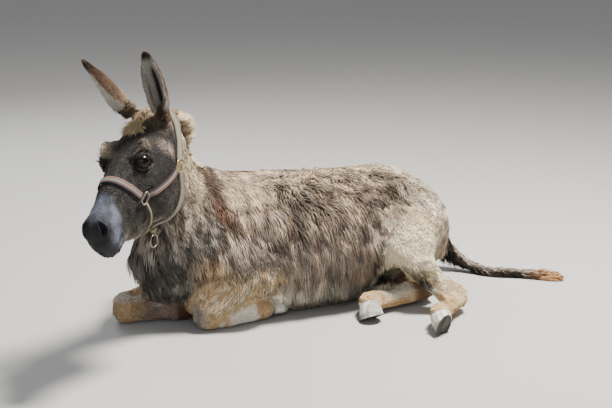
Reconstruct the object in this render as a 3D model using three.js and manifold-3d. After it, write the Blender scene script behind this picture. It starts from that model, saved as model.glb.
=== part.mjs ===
// A donkey lying on its brisket and right hip, wearing a webbing halter: a still, life-size model.
// Millimetres, +Z up, ground at z = 0. The head is towards -X and the animal's left side towards -Y.
// The flesh is a set of smooth fields (tubes along the bones and lumps for muscles) joined with
// fillets. A net of quads is laid over each field, and the nets are parted with thin cuts.
import * as THREE from "three";
import { mergeVertices } from "three/addons/utils/BufferGeometryUtils.js";
import Module from "manifold-3d";

const wasm = await Module();
wasm.setup();
const { Manifold, Mesh } = wasm;

// ---------- driving dimensions ----------
const GAP = 0.5; // left between neighbouring pieces
const POLL = [-644, -284, 764]; // top of the head between the ears
const HEAD_YAW = 44; // degrees, turned from straight ahead to the animal's left
const HEAD_PITCH = 32; // degrees, nose below the horizontal
const HEAD_ROLL = 9; // degrees, left side up
const EAR_LENGTH = 228;
const EAR_WIDTH = 62;
const EAR_WALL = 9;
const EYE = { centre: [210, 57, -38], radius: 23 }; // in the head's frame, left side
const EYE_OPENING = [27, 34, 17]; // half-sizes, along the head, outwards and upwards
const STRAP_WIDTH = 24;
const STRAP_THICKNESS = 3;
const STRAP_LIFT = 2.5; // from the head's surface to the underside of the webbing

const COLOURS = {
  coat: 0x8a7562,
  pale: 0xcabda6,
  shin: 0xa88a68,
  face: 0x5b4d45,
  mane: 0x9a6a44,
  tail: 0x3a2c25,
  hoof: 0x9a958c,
  eye: 0x17110d,
  webbing: 0x9a938c,
  tape: 0x8a8568,
  metal: 0xb9a26a,
};

const v3 = (p) => new THREE.Vector3(...p);

// ---------- fields: distance to a surface in mm, negative inside ----------

// Joins fields with a fillet that reaches k mm from the crease.
function blend(k, ...fields) {
  return (x, y, z) => {
    let d = fields[0](x, y, z);
    for (let i = 1; i < fields.length; i++) {
      const e = fields[i](x, y, z);
      const h = Math.max(k - Math.abs(d - e), 0) / k;
      d = Math.min(d, e) - (h * h * k) / 4;
    }
    return d;
  };
}

// What two fields have in common, with its edge rounded.
const common = (k, a, b) => {
  const either = blend(k, (...p) => -a(...p), (...p) => -b(...p));
  return (...p) => -either(...p);
};

// A field moved outwards by mm, inwards if mm is negative.
const swell = (field, mm) => (x, y, z) => field(x, y, z) - mm;

// Distance to an ellipse or ellipsoid, good near its surface.
function roundDistance(u, v, w, ru, rv, rw) {
  const k0 = Math.hypot(u / ru, v / rv, w / rw);
  const k1 = Math.hypot(u / (ru * ru), v / (rv * rv), w / (rw * rw));
  return k0 < 1e-6 ? -Math.min(ru, rv, rw) : (k0 * (k0 - 1)) / k1;
}

// An ellipsoid. turn gives its Euler angles in degrees.
function lump(at, radii, turn = [0, 0, 0]) {
  const angles = turn.map((a) => THREE.MathUtils.degToRad(a));
  const m = new THREE.Matrix4().makeRotationFromEuler(new THREE.Euler(...angles));
  const [a, b, c] = [0, 1, 2].map((i) => new THREE.Vector3().setFromMatrixColumn(m, i));
  return (x, y, z) => {
    const q = [x - at[0], y - at[1], z - at[2]];
    const along = (e) => e.x * q[0] + e.y * q[1] + e.z * q[2];
    return roundDistance(along(a), along(b), along(c), ...radii);
  };
}

// A limb: a smooth tube through stations [x, y, z, side, up, down], where side is the half-width
// along the sideways axis, and up and down are the half-depths on either side of the line.
const SPANS = 5; // straight pieces between two stations
function tube(sideways, stations) {
  const line = new THREE.CatmullRomCurve3(stations.map((s) => v3(s.slice(0, 3))));
  const sizes = new THREE.CatmullRomCurve3(stations.map((s) => v3(s.slice(3, 6))));
  const n = (stations.length - 1) * SPANS;
  const points = Array.from({ length: n + 1 }, (_, i) => line.getPoint(i / n));
  const radii = Array.from({ length: n + 1 }, (_, i) => sizes.getPoint(i / n));
  const pieces = points.slice(0, n).map((a, i) => {
    const dir = points[i + 1].clone().sub(a);
    const length = dir.length();
    dir.normalize();
    const side = v3(sideways).addScaledVector(dir, -v3(sideways).dot(dir)).normalize();
    const up = new THREE.Vector3().crossVectors(side, dir);
    return { a, dir, length, side, up, r0: radii[i], r1: radii[i + 1] };
  });
  return (x, y, z) => {
    let best = Infinity;
    for (const { a, dir, length, side, up, r0, r1 } of pieces) {
      const [qx, qy, qz] = [x - a.x, y - a.y, z - a.z];
      const along = qx * dir.x + qy * dir.y + qz * dir.z;
      const t = Math.min(Math.max(along / length, 0), 1);
      const past = along - t * length;
      const u = qx * side.x + qy * side.y + qz * side.z;
      const v = qx * up.x + qy * up.y + qz * up.z;
      const rs = r0.x + (r1.x - r0.x) * t;
      const rv = v > 0 ? r0.y + (r1.y - r0.y) * t : r0.z + (r1.z - r0.z) * t;
      best = Math.min(best, roundDistance(u, v, past, rs, rv, Math.min(rs, rv)));
    }
    return best;
  };
}

// Where a line from an inside point leaves a field's level.
function leaving(field, from, dir, level = 0) {
  const at = (t) => field(from.x + t * dir.x, from.y + t * dir.y, from.z + t * dir.z) - level;
  let [inside, outside] = [0, 20];
  while (at(outside) < 0) outside += 20;
  while (outside - inside > 0.1) {
    const middle = (inside + outside) / 2;
    if (at(middle) < 0) inside = middle;
    else outside = middle;
  }
  return from.clone().addScaledVector(dir, outside);
}

// A field given in a turned frame, as one in the world's.
function placed(frame, field) {
  const e = frame.clone().invert().elements;
  return (x, y, z) =>
    field(
      e[0] * x + e[4] * y + e[8] * z + e[12],
      e[1] * x + e[5] * y + e[9] * z + e[13],
      e[2] * x + e[6] * y + e[10] * z + e[14],
    );
}

// The outward direction of a field at p.
function normalAt(field, p, h = 1) {
  const f = (dx, dy, dz) => field(p.x + dx, p.y + dy, p.z + dz);
  return new THREE.Vector3(
    f(h, 0, 0) - f(-h, 0, 0),
    f(0, h, 0) - f(0, -h, 0),
    f(0, 0, h) - f(0, 0, -h),
  ).normalize();
}

// p moved onto the surface where the field is level.
function onSurface(field, p, level = 0, steps = 6) {
  const q = p.clone();
  for (let i = 0; i < steps; i++)
    q.addScaledVector(normalAt(field, q), level - field(q.x, q.y, q.z));
  return q;
}

// ---------- from fields to solids ----------

// Opens the edges of a net that four faces share, where two folds of the surface touch. Each of the
// two wedges of flesh gets a point of its own in the middle of the edge, moved into the wedge.
const PINCH_OPENING = 3;
function openPinches({ position, index }) {
  const at = (i) => new THREE.Vector3(...position.slice(3 * i, 3 * i + 3));
  const uses = new Map();
  for (let f = 0; f < index.length; f += 3)
    for (let c = 0; c < 3; c++) {
      const [a, b, tip] = [index[f + c], index[f + ((c + 1) % 3)], index[f + ((c + 2) % 3)]];
      const key = Math.min(a, b) * 1e6 + Math.max(a, b);
      uses.set(key, [...(uses.get(key) ?? []), { f, a, b, tip }]);
    }
  const used = new Set();
  for (const faces of uses.values()) {
    if (faces.length < 4 || faces.some(({ f }) => used.has(f))) continue;
    faces.forEach(({ f }) => used.add(f));
    const { a, b } = faces[0];
    const [start, end] = [at(a), at(b)];
    const middle = start.clone().lerp(end, 0.5);
    const axis = end.clone().sub(start).normalize();
    const spoke = (face) => {
      const to = at(face.tip).sub(middle);
      return to.addScaledVector(axis, -to.dot(axis)).normalize();
    };
    const turnFrom = (from, to) => {
      const angle = Math.atan2(axis.dot(new THREE.Vector3().crossVectors(to, from)), from.dot(to));
      return angle > 0 ? angle : angle + 2 * Math.PI;
    };
    for (const one of faces.filter((face) => face.a === a)) {
      const from = spoke(one);
      const others = faces.filter((face) => face.a === b);
      others.sort((p, q) => turnFrom(from, spoke(p)) - turnFrom(from, spoke(q)));
      const into = from.clone().applyAxisAngle(axis, -turnFrom(from, spoke(others[0])) / 2);
      const m = position.length / 3;
      position.push(...middle.clone().addScaledVector(into, PINCH_OPENING).toArray());
      for (const face of [one, others[0]]) {
        index.splice(face.f, 3, face.a, m, face.tip);
        index.push(m, face.b, face.tip);
      }
    }
  }
}

// A closed net of triangles where the field is level. The finished net is moved outwards by grow
// mm, to make room for the piece that has the same net.
function net(field, grid, grow = 0) {
  const flat = lattice(field, grid);
  openPinches(flat);
  const made = new THREE.BufferGeometry()
    .setAttribute("position", new THREE.Float32BufferAttribute(flat.position, 3))
    .setIndex(flat.index);
  made.computeVertexNormals();
  const { position: p, normal: n } = made.attributes;
  for (let i = 0; i < p.count; i++) {
    const out = new THREE.Vector3().fromBufferAttribute(n, i).multiplyScalar(grow);
    p.setXYZ(i, p.getX(i) + out.x, p.getY(i) + out.y, p.getZ(i) + out.z);
  }
  return made;
}

// The net's corners and triangles, with one corner in each cell of the grid that the surface
// crosses. low, high and step are in the grid's own frame.
function lattice(field, { low, high, step, frame = new THREE.Matrix4(), level = 0 }) {
  const count = [0, 1, 2].map((i) => Math.ceil((high[i] - low[i]) / step[i]) + 1);
  const at = (i, j, k) =>
    new THREE.Vector3(low[0] + i * step[0], low[1] + j * step[1], low[2] + k * step[2]);
  const node = (i, j, k) => (i * count[1] + j) * count[2] + k;
  const values = new Float32Array(count[0] * count[1] * count[2]);
  for (let i = 0; i < count[0]; i++)
    for (let j = 0; j < count[1]; j++)
      for (let k = 0; k < count[2]; k++) {
        const p = at(i, j, k).applyMatrix4(frame);
        const edge = [i, j, k].some((n, c) => n === 0 || n === count[c] - 1);
        const value = field(p.x, p.y, p.z) - level;
        values[node(i, j, k)] = edge ? Math.max(value, 1) : value;
      }
  const corners = Array.from({ length: 8 }, (_, c) => [c >> 2, (c >> 1) & 1, c & 1]);
  const edges = [];
  for (let a = 0; a < 8; a++)
    for (const bit of [1, 2, 4]) if (!(a & bit)) edges.push([a, a | bit]);
  const position = [];
  const vertexOf = new Map();
  for (let i = 0; i < count[0] - 1; i++)
    for (let j = 0; j < count[1] - 1; j++)
      for (let k = 0; k < count[2] - 1; k++) {
        const f = corners.map(([a, b, c]) => values[node(i + a, j + b, k + c)]);
        const crossed = edges.filter(([a, b]) => f[a] < 0 !== f[b] < 0);
        if (!crossed.length) continue;
        const sum = new THREE.Vector3();
        for (const [a, b] of crossed) {
          const t = f[a] / (f[a] - f[b]);
          const [p, q] = [corners[a], corners[b]].map((c) => at(i + c[0], j + c[1], k + c[2]));
          sum.add(p.lerp(q, t));
        }
        const p = sum.divideScalar(crossed.length).applyMatrix4(frame);
        vertexOf.set(node(i, j, k), position.length / 3);
        const near = Math.abs(field(p.x, p.y, p.z) - level) < step[0] / 2;
        position.push(...(near ? onSurface(field, p, level, 1) : p).toArray());
      }
  const index = [];
  const far = (a, b) =>
    Math.hypot(...[0, 1, 2].map((c) => position[3 * a + c] - position[3 * b + c]));
  const taken = new Set();
  const key = (a, b) => Math.min(a, b) * 1e6 + Math.max(a, b);
  const quad = (a, b, c, d) => {
    const short = far(a, c) < far(b, d);
    const first = taken.has(key(a, c)) ? false : short || taken.has(key(b, d));
    taken.add(first ? key(a, c) : key(b, d));
    if (first) index.push(a, b, c, a, c, d);
    else index.push(b, c, d, b, d, a);
  };
  for (let i = 0; i < count[0] - 1; i++)
    for (let j = 0; j < count[1] - 1; j++)
      for (let k = 0; k < count[2] - 1; k++) {
        const here = values[node(i, j, k)] < 0;
        for (const [next, u, v] of [
          [[1, 0, 0], [0, 1, 0], [0, 0, 1]],
          [[0, 1, 0], [0, 0, 1], [1, 0, 0]],
          [[0, 0, 1], [1, 0, 0], [0, 1, 0]],
        ]) {
          const there = values[node(i + next[0], j + next[1], k + next[2])] < 0;
          if (here === there) continue;
          const cell = (a, b) =>
            vertexOf.get(node(i - a * u[0] - b * v[0], j - a * u[1] - b * v[1], k - a * u[2] - b * v[2]));
          const ring = [cell(1, 1), cell(0, 1), cell(0, 0), cell(1, 0)];
          if (here) quad(...ring);
          else quad(...ring.reverse());
        }
      }
  return { position, index };
}

// A three.js geometry as a solid.
function solid(geometry, matrix = new THREE.Matrix4()) {
  const g = (geometry.index ? geometry.toNonIndexed() : geometry).clone().applyMatrix4(matrix);
  for (const name of ["normal", "uv"]) g.deleteAttribute(name);
  const merged = mergeVertices(g, 1e-3);
  return new Manifold(
    new Mesh({
      numProp: 3,
      vertProperties: merged.attributes.position.array,
      triVerts: new Uint32Array(merged.index.array),
    }),
  );
}

const netSolid = (field, grid, grow) => solid(net(field, grid, grow));

// The biggest piece of a solid: a cut can leave crumbs beside it.
function main(shape) {
  return shape.decompose().reduce((a, b) => (b.volume() > a.volume() ? b : a));
}

// Everything on the side of a plane that its normal points to, as one large box.
function side(point, normal, inset = 0) {
  const size = 4000;
  const n = v3(normal).normalize();
  const box = new THREE.BoxGeometry(size, size, size);
  const turn = new THREE.Quaternion().setFromUnitVectors(new THREE.Vector3(0, 0, 1), n);
  const centre = v3(point).addScaledVector(n, size / 2 + inset);
  return solid(box, new THREE.Matrix4().compose(centre, turn, new THREE.Vector3(1, 1, 1)));
}

const GROUND = side([0, 0, 0], [0, 0, -1]);
const aboveGround = (shape) => main(shape.subtract(GROUND));

// A closed surface through rings of equal numbers of points, with a fan over each end.
function loft(rings) {
  const n = rings[0].length;
  const position = rings.flat().flatMap((p) => p.toArray());
  const index = [];
  for (let r = 0; r + 1 < rings.length; r++)
    for (let i = 0; i < n; i++) {
      const [a, b] = [r * n + i, r * n + ((i + 1) % n)];
      index.push(a, b, b + n, a, b + n, a + n);
    }
  for (const [ring, start] of [
    [rings[0], 0],
    [rings.at(-1), (rings.length - 1) * n],
  ]) {
    const centre = ring.reduce((s, p) => s.add(p), new THREE.Vector3()).divideScalar(n);
    const c = position.length / 3;
    position.push(...centre.toArray());
    for (let i = 0; i < n; i++) {
      const [a, b] = [start + i, start + ((i + 1) % n)];
      if (start) index.push(a, b, c);
      else index.push(b, a, c);
    }
  }
  return new THREE.BufferGeometry()
    .setAttribute("position", new THREE.Float32BufferAttribute(position, 3))
    .setIndex(index);
}

// A loft as a solid, whichever way its rings turn.
function loftSolid(rings) {
  const made = solid(loft(rings));
  return made.volume() > 0 ? made : solid(loft(rings.map((r) => [...r].reverse())));
}

// A loft around a line of points. shape(t) gives a ring's corners as [across, above] pairs, where
// above is measured along the side of the line that `above` points to.
function along(points, above, shape) {
  const line = new THREE.CatmullRomCurve3(points);
  return (count) =>
    loftSolid(
      Array.from({ length: count + 1 }, (_, i) => {
        const t = i / count;
        const centre = line.getPoint(t);
        const dir = line.getTangent(t);
        const up = above(centre, t);
        up.addScaledVector(dir, -up.dot(dir)).normalize();
        const across = new THREE.Vector3().crossVectors(dir, up);
        return shape(t).map(([a, b]) =>
          centre.clone().addScaledVector(across, a).addScaledVector(up, b),
        );
      }),
    );
}

// Corners of an ellipse.
const oval = (n, a, b) =>
  Array.from({ length: n }, (_, i) => {
    const angle = (2 * Math.PI * (i + 0.5)) / n;
    return [a * Math.cos(angle), b * Math.sin(angle)];
  });

// ---------- the body ----------

const SIDEWAYS = [0, -1, 0]; // out from the animal's left side

const barrel = tube(SIDEWAYS, [
  [-600, -62, 232, 52, 62, 78],
  [-535, -55, 238, 105, 118, 145],
  [-450, -34, 240, 150, 178, 196],
  [-355, -12, 240, 184, 243, 238],
  [-240, 0, 236, 216, 238, 252],
  [-95, 0, 230, 240, 228, 256],
  [60, 2, 224, 248, 224, 248],
  [185, 12, 234, 214, 208, 190],
  [300, 26, 240, 172, 198, 142],
  [400, 42, 206, 168, 172, 168],
  [480, 50, 170, 132, 108, 142],
  [524, 52, 144, 94, 66, 108],
]);

const shoulder = (s, x, y) => lump([x, y + s * 120, 285], [110, 62, 150], [0, -24, 0]);
const leftShoulder = shoulder(-1, -365, -5);
const rightShoulder = shoulder(1, -385, -5);

const leftThigh = tube([0.13, -0.49, 0.86], [
  [400, -30, 250, 110, 130, 130],
  [345, -130, 248, 92, 112, 112],
  [282, -215, 225, 72, 86, 84],
]);
const rightThigh = tube([0, 0.5, -0.86], [
  [400, 110, 150, 110, 140, 120],
  [290, 80, 110, 95, 110, 100],
  [180, 10, 85, 78, 80, 80],
]);
const hipBone = lump([262, -70, 372], [75, 70, 55]);
const withers = lump([-395, -40, 455], [95, 62, 62], [0, 14, 0]);

const neck = tube([-0.76, 0.65, 0], [
  [-360, -20, 280, 140, 205, 215],
  [-442, -72, 390, 80, 122, 180],
  [-512, -141, 500, 64, 92, 140],
  [-564, -210, 600, 62, 90, 112],
  [-600, -262, 672, 60, 84, 92],
]);

// ---------- legs: [x, y, z, side, up, down], from the body outwards ----------
// A hoof has its coronet's centre, the toe and the heel of its sole, and half its width.

const LEGS = {
  fore_left: {
    sideways: SIDEWAYS,
    upper: [
      [-400, -130, 260, 62, 80, 80],
      [-320, -180, 200, 62, 80, 80],
      [-278, -196, 158, 58, 68, 68],
      [-330, -190, 122, 52, 55, 55],
      [-392, -172, 82, 46, 48, 48],
      [-430, -160, 54, 48, 50, 52],
    ],
    lower: [
      [-424, -158, 50, 46, 48, 50],
      [-377, -168, 42, 38, 38, 42],
      [-308, -164, 38, 33, 34, 38],
      [-244, -154, 42, 38, 40, 42],
      [-208, -146, 42, 33, 34, 38],
    ],
    hoof: { coronet: [-199, -144, 42], toe: [-146, -134, 10], heel: [-171, -137, 66], half: 36 },
  },
  fore_right: {
    sideways: [0.35, 0.94, 0],
    upper: [
      [-420, 100, 240, 62, 80, 80],
      [-370, 110, 150, 66, 80, 80],
      [-365, 100, 115, 62, 70, 70],
      [-470, 75, 90, 52, 55, 55],
      [-580, 45, 60, 45, 46, 46],
      [-640, 25, 50, 48, 50, 52],
    ],
    lower: [
      [-635, 25, 48, 46, 48, 50],
      [-590, 5, 40, 38, 38, 42],
      [-525, -22, 34, 31, 31, 35],
      [-468, -44, 38, 36, 36, 39],
      [-440, -52, 38, 32, 32, 36],
    ],
    hoof: { coronet: [-434, -53, 38], toe: [-385, -62, 10], heel: [-410, -60, 62], half: 34 },
  },
  hind_left: {
    sideways: [0.13, -0.49, 0.86],
    upper: [
      [282, -215, 225, 70, 84, 84],
      [258, -246, 204, 62, 72, 72],
      [284, -290, 148, 50, 60, 60],
      [325, -330, 94, 38, 48, 48],
      [378, -356, 54, 42, 46, 46],
    ],
    lower: [
      [378, -358, 52, 42, 46, 46],
      [340, -395, 46, 34, 36, 38],
      [292, -435, 44, 30, 32, 34],
      [250, -472, 52, 37, 39, 40],
      [233, -493, 52, 33, 35, 36],
    ],
    hoof: { coronet: [229, -500, 52], toe: [194, -542, 8], heel: [250, -530, 50], half: 41 },
  },
  hind_right: {
    sideways: [0, 0, 1],
    upper: [
      [180, 10, 85, 78, 80, 80],
      [165, -45, 72, 64, 70, 72],
      [225, -115, 60, 52, 60, 60],
      [290, -185, 54, 40, 48, 48],
      [332, -222, 50, 42, 48, 46],
    ],
    lower: [
      [332, -224, 48, 42, 48, 46],
      [290, -236, 42, 34, 37, 37],
      [200, -250, 38, 31, 33, 34],
      [110, -262, 46, 38, 42, 42],
      [94, -282, 46, 34, 37, 37],
    ],
    hoof: { coronet: [92, -290, 44], toe: [52, -346, 22], heel: [104, -304, 2], half: 40 },
  },
};

for (const leg of Object.values(LEGS)) {
  leg.upperField = tube(leg.sideways, leg.upper);
  leg.lowerField = tube(leg.sideways, leg.lower);
  leg.field = blend(14, leg.upperField, leg.lowerField);
}

// ---------- the head, in its own frame: +X to the nose, +Y to its left, +Z dorsal ----------

const headFrame = new THREE.Matrix4().compose(
  v3(POLL),
  new THREE.Quaternion().setFromEuler(
    new THREE.Euler(
      THREE.MathUtils.degToRad(HEAD_ROLL),
      THREE.MathUtils.degToRad(HEAD_PITCH),
      THREE.MathUtils.degToRad(180 + HEAD_YAW),
      "ZYX",
    ),
  ),
  new THREE.Vector3(1, 1, 1),
);
const inHead = (p) => v3(p).applyMatrix4(headFrame);
const turnedHead = (p) => v3(p).transformDirection(headFrame);

const both = (make) => [1, -1].map(make);
const skull = tube([0, -1, 0], [
  [20, 0, -80, 62, 70, 75],
  [100, 0, -95, 82, 88, 122],
  [190, 0, -105, 84, 98, 132],
  [255, 0, -100, 66, 90, 136],
  [316, 0, -92, 55, 77, 128],
  [368, 0, -92, 45, 65, 93],
  [412, 0, -96, 40, 55, 64],
  [436, 0, -101, 33, 43, 46],
]);
const headOnly = blend(
  26,
  skull,
  ...both((s) => lump([178, s * 44, -168], [92, 40, 88], [0, 12, 0])),
  ...both((s) => lump([184, s * 60, -20], [46, 20, 28], [0, 8, 0])),
  ...both((s) => lump([427, s * 26, -73], [28, 17, 27])),
  lump([442, 0, -118], [28, 36, 30]),
  lump([426, 0, -146], [34, 29, 26]),
);
const head = placed(headFrame, headOnly);

// ---------- fields that are meshed ----------

const trunkField = blend(
  50,
  blend(40, barrel, neck),
  leftShoulder,
  rightShoulder,
  leftThigh,
  rightThigh,
  hipBone,
  withers,
  ...Object.values(LEGS).map((leg) => leg.upperField),
);
const neckField = blend(40, trunkField, head);
const headField = blend(40, neck, head);

// ---------- nodes ----------

const group = new THREE.Group();
function add(name, shape, colour, roughness = 0.9, metalness = 0) {
  const m = shape.getMesh();
  const geometry = new THREE.BufferGeometry()
    .setAttribute("position", new THREE.BufferAttribute(new Float32Array(m.vertProperties), 3))
    .setIndex(new THREE.BufferAttribute(new Uint32Array(m.triVerts), 1));
  geometry.computeVertexNormals();
  const material = new THREE.MeshStandardMaterial({ color: colour, roughness, metalness });
  const mesh = new THREE.Mesh(geometry, material);
  mesh.name = name;
  group.add(mesh);
}

const NECK_CUT = { point: [-445, -85, 380], normal: [-0.62, -0.5, 0.6] };
const HEAD_CUT = { point: [30, 0, -90], normal: [0.853, 0, 0.523] };

const trunkGrid = { low: [-700, -330, -60], high: [680, 330, 560], step: [64, 57, 57] };
const neckSide = side(NECK_CUT.point, NECK_CUT.normal);
const neckSideWide = side(NECK_CUT.point, NECK_CUT.normal, -GAP);
const trunkAll = netSolid(trunkField, trunkGrid);
let trunk = trunkAll.subtract(neckSideWide);

const headSide = side(inHead(HEAD_CUT.point).toArray(), turnedHead(HEAD_CUT.normal).toArray());
const headSideWide = side(
  inHead(HEAD_CUT.point).toArray(),
  turnedHead(HEAD_CUT.normal).toArray(),
  -GAP,
);
const neckGrid = { low: [-820, -480, 100], high: [-250, 220, 880], step: [44, 44, 44] };
const neckPiece = main(netSolid(neckField, neckGrid).intersect(neckSide).subtract(headSideWide));

const headGrid = {
  low: [-80, -160, -330],
  high: [570, 160, 90],
  step: [31, 24, 24],
  frame: headFrame,
};
let headPiece = main(netSolid(headField, headGrid).intersect(headSide));
const headRoom = netSolid(headField, headGrid, GAP);

// The legs, each parted from the trunk and from each other.
const SLEEVE = 12; // how far round its bones a leg takes the flesh
const BELOW = 116; // how far a leg's grid starts below its lowest station
const BEYOND = 110; // and how far it runs beyond its highest
for (const leg of Object.values(LEGS)) {
  const all = [...leg.upper, ...leg.lower];
  const low = [0, 1, 2].map((i) => Math.min(...all.map((s) => s[i])) - BELOW);
  const high = [0, 1, 2].map((i) => Math.max(...all.map((s) => s[i])) + BEYOND);
  const outer = blend(10, tube(leg.sideways, leg.upper.slice(2)), leg.lowerField);
  const flesh = common(26, blend(16, trunkField, leg.field), swell(outer, SLEEVE));
  const grid = { low, high, step: [34, 34, 34] };
  const shin = tube(leg.sideways, leg.lower.slice(1));
  const { coronet, toe, heel, half } = leg.hoof;
  const [c, t, h] = [coronet, toe, heel].map(v3);
  const sole = t.clone().add(h).divideScalar(2);
  const axis = sole.clone().sub(c).normalize();
  const front = t.clone().sub(h);
  const depth = front.length() / 2;
  const down = front.clone().normalize();
  front.addScaledVector(axis, -front.dot(axis)).normalize();
  const across = new THREE.Vector3().crossVectors(front, axis).normalize();
  const ring = (at, a, v, b) =>
    oval(12, a, b).map(([p, q]) => at.clone().addScaledVector(across, p).addScaledVector(v, q));
  const hoof = (grow) =>
    loftSolid([
      ring(c.clone().addScaledVector(axis, -grow), half - 5 + grow, front, 34 + grow),
      ring(c.clone().lerp(sole, 0.3), half - 3 + grow, front.clone().lerp(down, 0.3), 37 + grow),
      ring(sole.clone().addScaledVector(axis, grow), half + 3 + grow, down, depth + 5 + grow),
    ]);
  leg.piece = netSolid(flesh, grid);
  leg.room = netSolid(flesh, grid, 2 * GAP).add(leg.piece).add(hoof(GAP));
  leg.hoofPiece = hoof(0);
  leg.shin = netSolid(shin, { ...grid, level: 6 });
  leg.shinRoom = netSolid(shin, { ...grid, level: 6 }, GAP);
  leg.beyond = side(coronet, axis.toArray(), -GAP);
}
const order = Object.entries(LEGS);
for (const [, leg] of order) trunk = trunk.subtract(leg.room);
trunk = aboveGround(main(trunk));
order.forEach(([name, leg], i) => {
  const clear = (shape) => order.slice(0, i).reduce((s, [, other]) => s.subtract(other.room), shape);
  const whole = aboveGround(clear(leg.piece).subtract(leg.beyond));
  add(`${name}_upper`, main(whole.subtract(leg.shinRoom)), COLOURS.coat);
  add(`${name}_lower`, main(whole.intersect(leg.shin)), COLOURS.shin);
  add(`${name}_hoof`, aboveGround(clear(leg.hoofPiece)), COLOURS.hoof, 0.6);
});
add("trunk", trunk, COLOURS.coat);
add("neck", neckPiece, COLOURS.coat);

// ---------- ears, eyes ----------

// [part of the length, half-width as a share of the widest, half-angle that the wall wraps]
const EAR_SHAPE = [
  [-0.08, 0.7, 158],
  [0.06, 0.76, 152],
  [0.2, 0.86, 136],
  [0.34, 0.96, 114],
  [0.5, 1.0, 96],
  [0.66, 0.92, 84],
  [0.82, 0.64, 76],
  [0.93, 0.4, 68],
  [1, 0.14, 60],
];
// An ear, or with filled its outside with some room, closed across the opening.
function ear({ base, axis, facing, bend }, filled = false) {
  const up = v3(axis).normalize();
  const out = v3(facing);
  out.addScaledVector(up, -out.dot(up)).normalize();
  const across = new THREE.Vector3().crossVectors(up, out);
  const rings = EAR_SHAPE.map(([t, share, wrap]) => {
    const half = (share * EAR_WIDTH) / 2;
    const angle = THREE.MathUtils.degToRad(wrap);
    const radius = half / Math.sin(Math.min(angle, Math.PI / 2));
    const wall = Math.min(EAR_WALL, radius * 0.5);
    const deep = 1.25 - 0.25 * t; // the ear is deeper than it is wide, most of all at its base
    const middle = v3(base)
      .addScaledVector(up, t * EAR_LENGTH)
      .addScaledVector(out, radius * 0.3 + bend * t * t);
    const arc = (r, from, to, count) =>
      Array.from({ length: count }, (_, i) => {
        const a = from + ((to - from) * i) / (count - 1);
        return middle
          .clone()
          .addScaledVector(across, r * Math.sin(a))
          .addScaledVector(out, -r * deep * Math.cos(a));
      });
    if (filled) return arc(radius + 2 * GAP, -2.8, 2.8, 12);
    return [...arc(radius, -angle, angle, 6), ...arc(radius - wall, angle * 0.93, -angle * 0.93, 6)];
  });
  return loftSolid(rings.map((r) => r.map((p) => p.applyMatrix4(headFrame))));
}
const EARS = {
  ear_left: { base: [32, 58, -24], axis: [-0.05, 0.18, 0.98], facing: [0.8, 0.2, 0.1], bend: 14 },
  ear_right: { base: [12, -60, -8], axis: [0.28, -0.19, 0.94], facing: [0.5, -0.85, -0.1], bend: -24 },
};
for (const [name, spec] of Object.entries(EARS))
  add(name, main(ear(spec).subtract(headRoom)), COLOURS.coat);

for (const [name, s] of [["eye_left", 1], ["eye_right", -1]]) {
  const [f, l, u] = EYE.centre;
  const ball = (radii, out = 0) => {
    const at = new THREE.Matrix4().makeTranslation(f, s * (l + out), u).scale(v3(radii));
    return solid(new THREE.SphereGeometry(1, 10, 6), at.premultiply(headFrame));
  };
  const { radius: r } = EYE;
  add(name, ball([r, r, r]), COLOURS.eye, 0.15);
  headPiece = headPiece.subtract(ball([r + GAP, r + GAP, r + GAP])).subtract(ball(EYE_OPENING, 18));
}
add("head", headPiece, COLOURS.face);

// ---------- mane, forelock, tail ----------

// A ridge of hair over a surface, rooted in it along a path. size(t) gives its half-width and height.
const ridge = (path, up, size, count) =>
  along(path, () => up.clone(), (t) => {
    const [half, height] = size(t);
    return [
      [-half, -22],
      [half, -22],
      [half * 0.8, height * 0.6],
      [half * 0.2, height],
      [-half * 0.2, height],
      [-half * 0.8, height * 0.6],
    ];
  })(count);

const CREST_UP = new THREE.Vector3(0.78, 0.26, 0.66).normalize();
const NECK_LINE = [
  [-606, -268, 700],
  [-582, -236, 650],
  [-552, -196, 590],
  [-520, -154, 528],
  [-480, -112, 460],
];
const neckRoom = netSolid(neckField, neckGrid, GAP);
const trunkRoom = netSolid(trunkField, trunkGrid, GAP);
const maneHeight = (t) => [24 - 10 * t, 34 - 24 * t];
const mane = ridge(
  NECK_LINE.map((p) => leaving(neckField, v3(p), CREST_UP)),
  CREST_UP,
  maneHeight,
  7,
);
add("mane", main(mane.subtract(neckRoom).subtract(headRoom).subtract(trunkRoom)), COLOURS.mane);

const dorsal = turnedHead([0, 0, 1]);
const lockLine = [10, 50, 90, 130, 160].map((f) => leaving(headField, inHead([f, -14, -80]), dorsal));
const lockSize = (t) => [54 - 24 * t, 26 - 12 * t];
add(
  "forelock",
  main(
    Object.values(EARS).reduce(
      (lock, spec) => lock.subtract(ear(spec, true)),
      ridge(lockLine, dorsal, lockSize, 8).subtract(headRoom),
    ),
  ),
  COLOURS.mane,
);

const TAIL = [
  [530, 74, 206],
  [574, 68, 144],
  [616, 50, 82],
  [660, 0, 34],
  [700, -62, 16],
  [752, -104, 15],
  [812, -152, 15],
  [870, -202, 15],
  [916, -240, 14],
];
const TAIL_DOCK_SHARE = 0.4;
const tailLine = new THREE.CatmullRomCurve3(TAIL.map(v3));
const tail = along(
  TAIL.map(v3),
  () => new THREE.Vector3(-0.3, -0.3, 0.9),
  (t) => {
    const taper = t > 0.88 ? 1 - (t - 0.88) * 5 : 1;
    const width = THREE.MathUtils.lerp(37, 20, Math.min(t / 0.36, 1)) * taper;
    return oval(8, width, width * 0.9);
  },
)(15).subtract(trunkRoom);
const parting = [tailLine.getPoint(TAIL_DOCK_SHARE), tailLine.getTangent(TAIL_DOCK_SHARE)];
const switchSide = (inset) => side(...parting.map((v) => v.toArray()), inset);
add("tail_dock", aboveGround(main(tail.subtract(switchSide(-GAP)))), COLOURS.coat);
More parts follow.
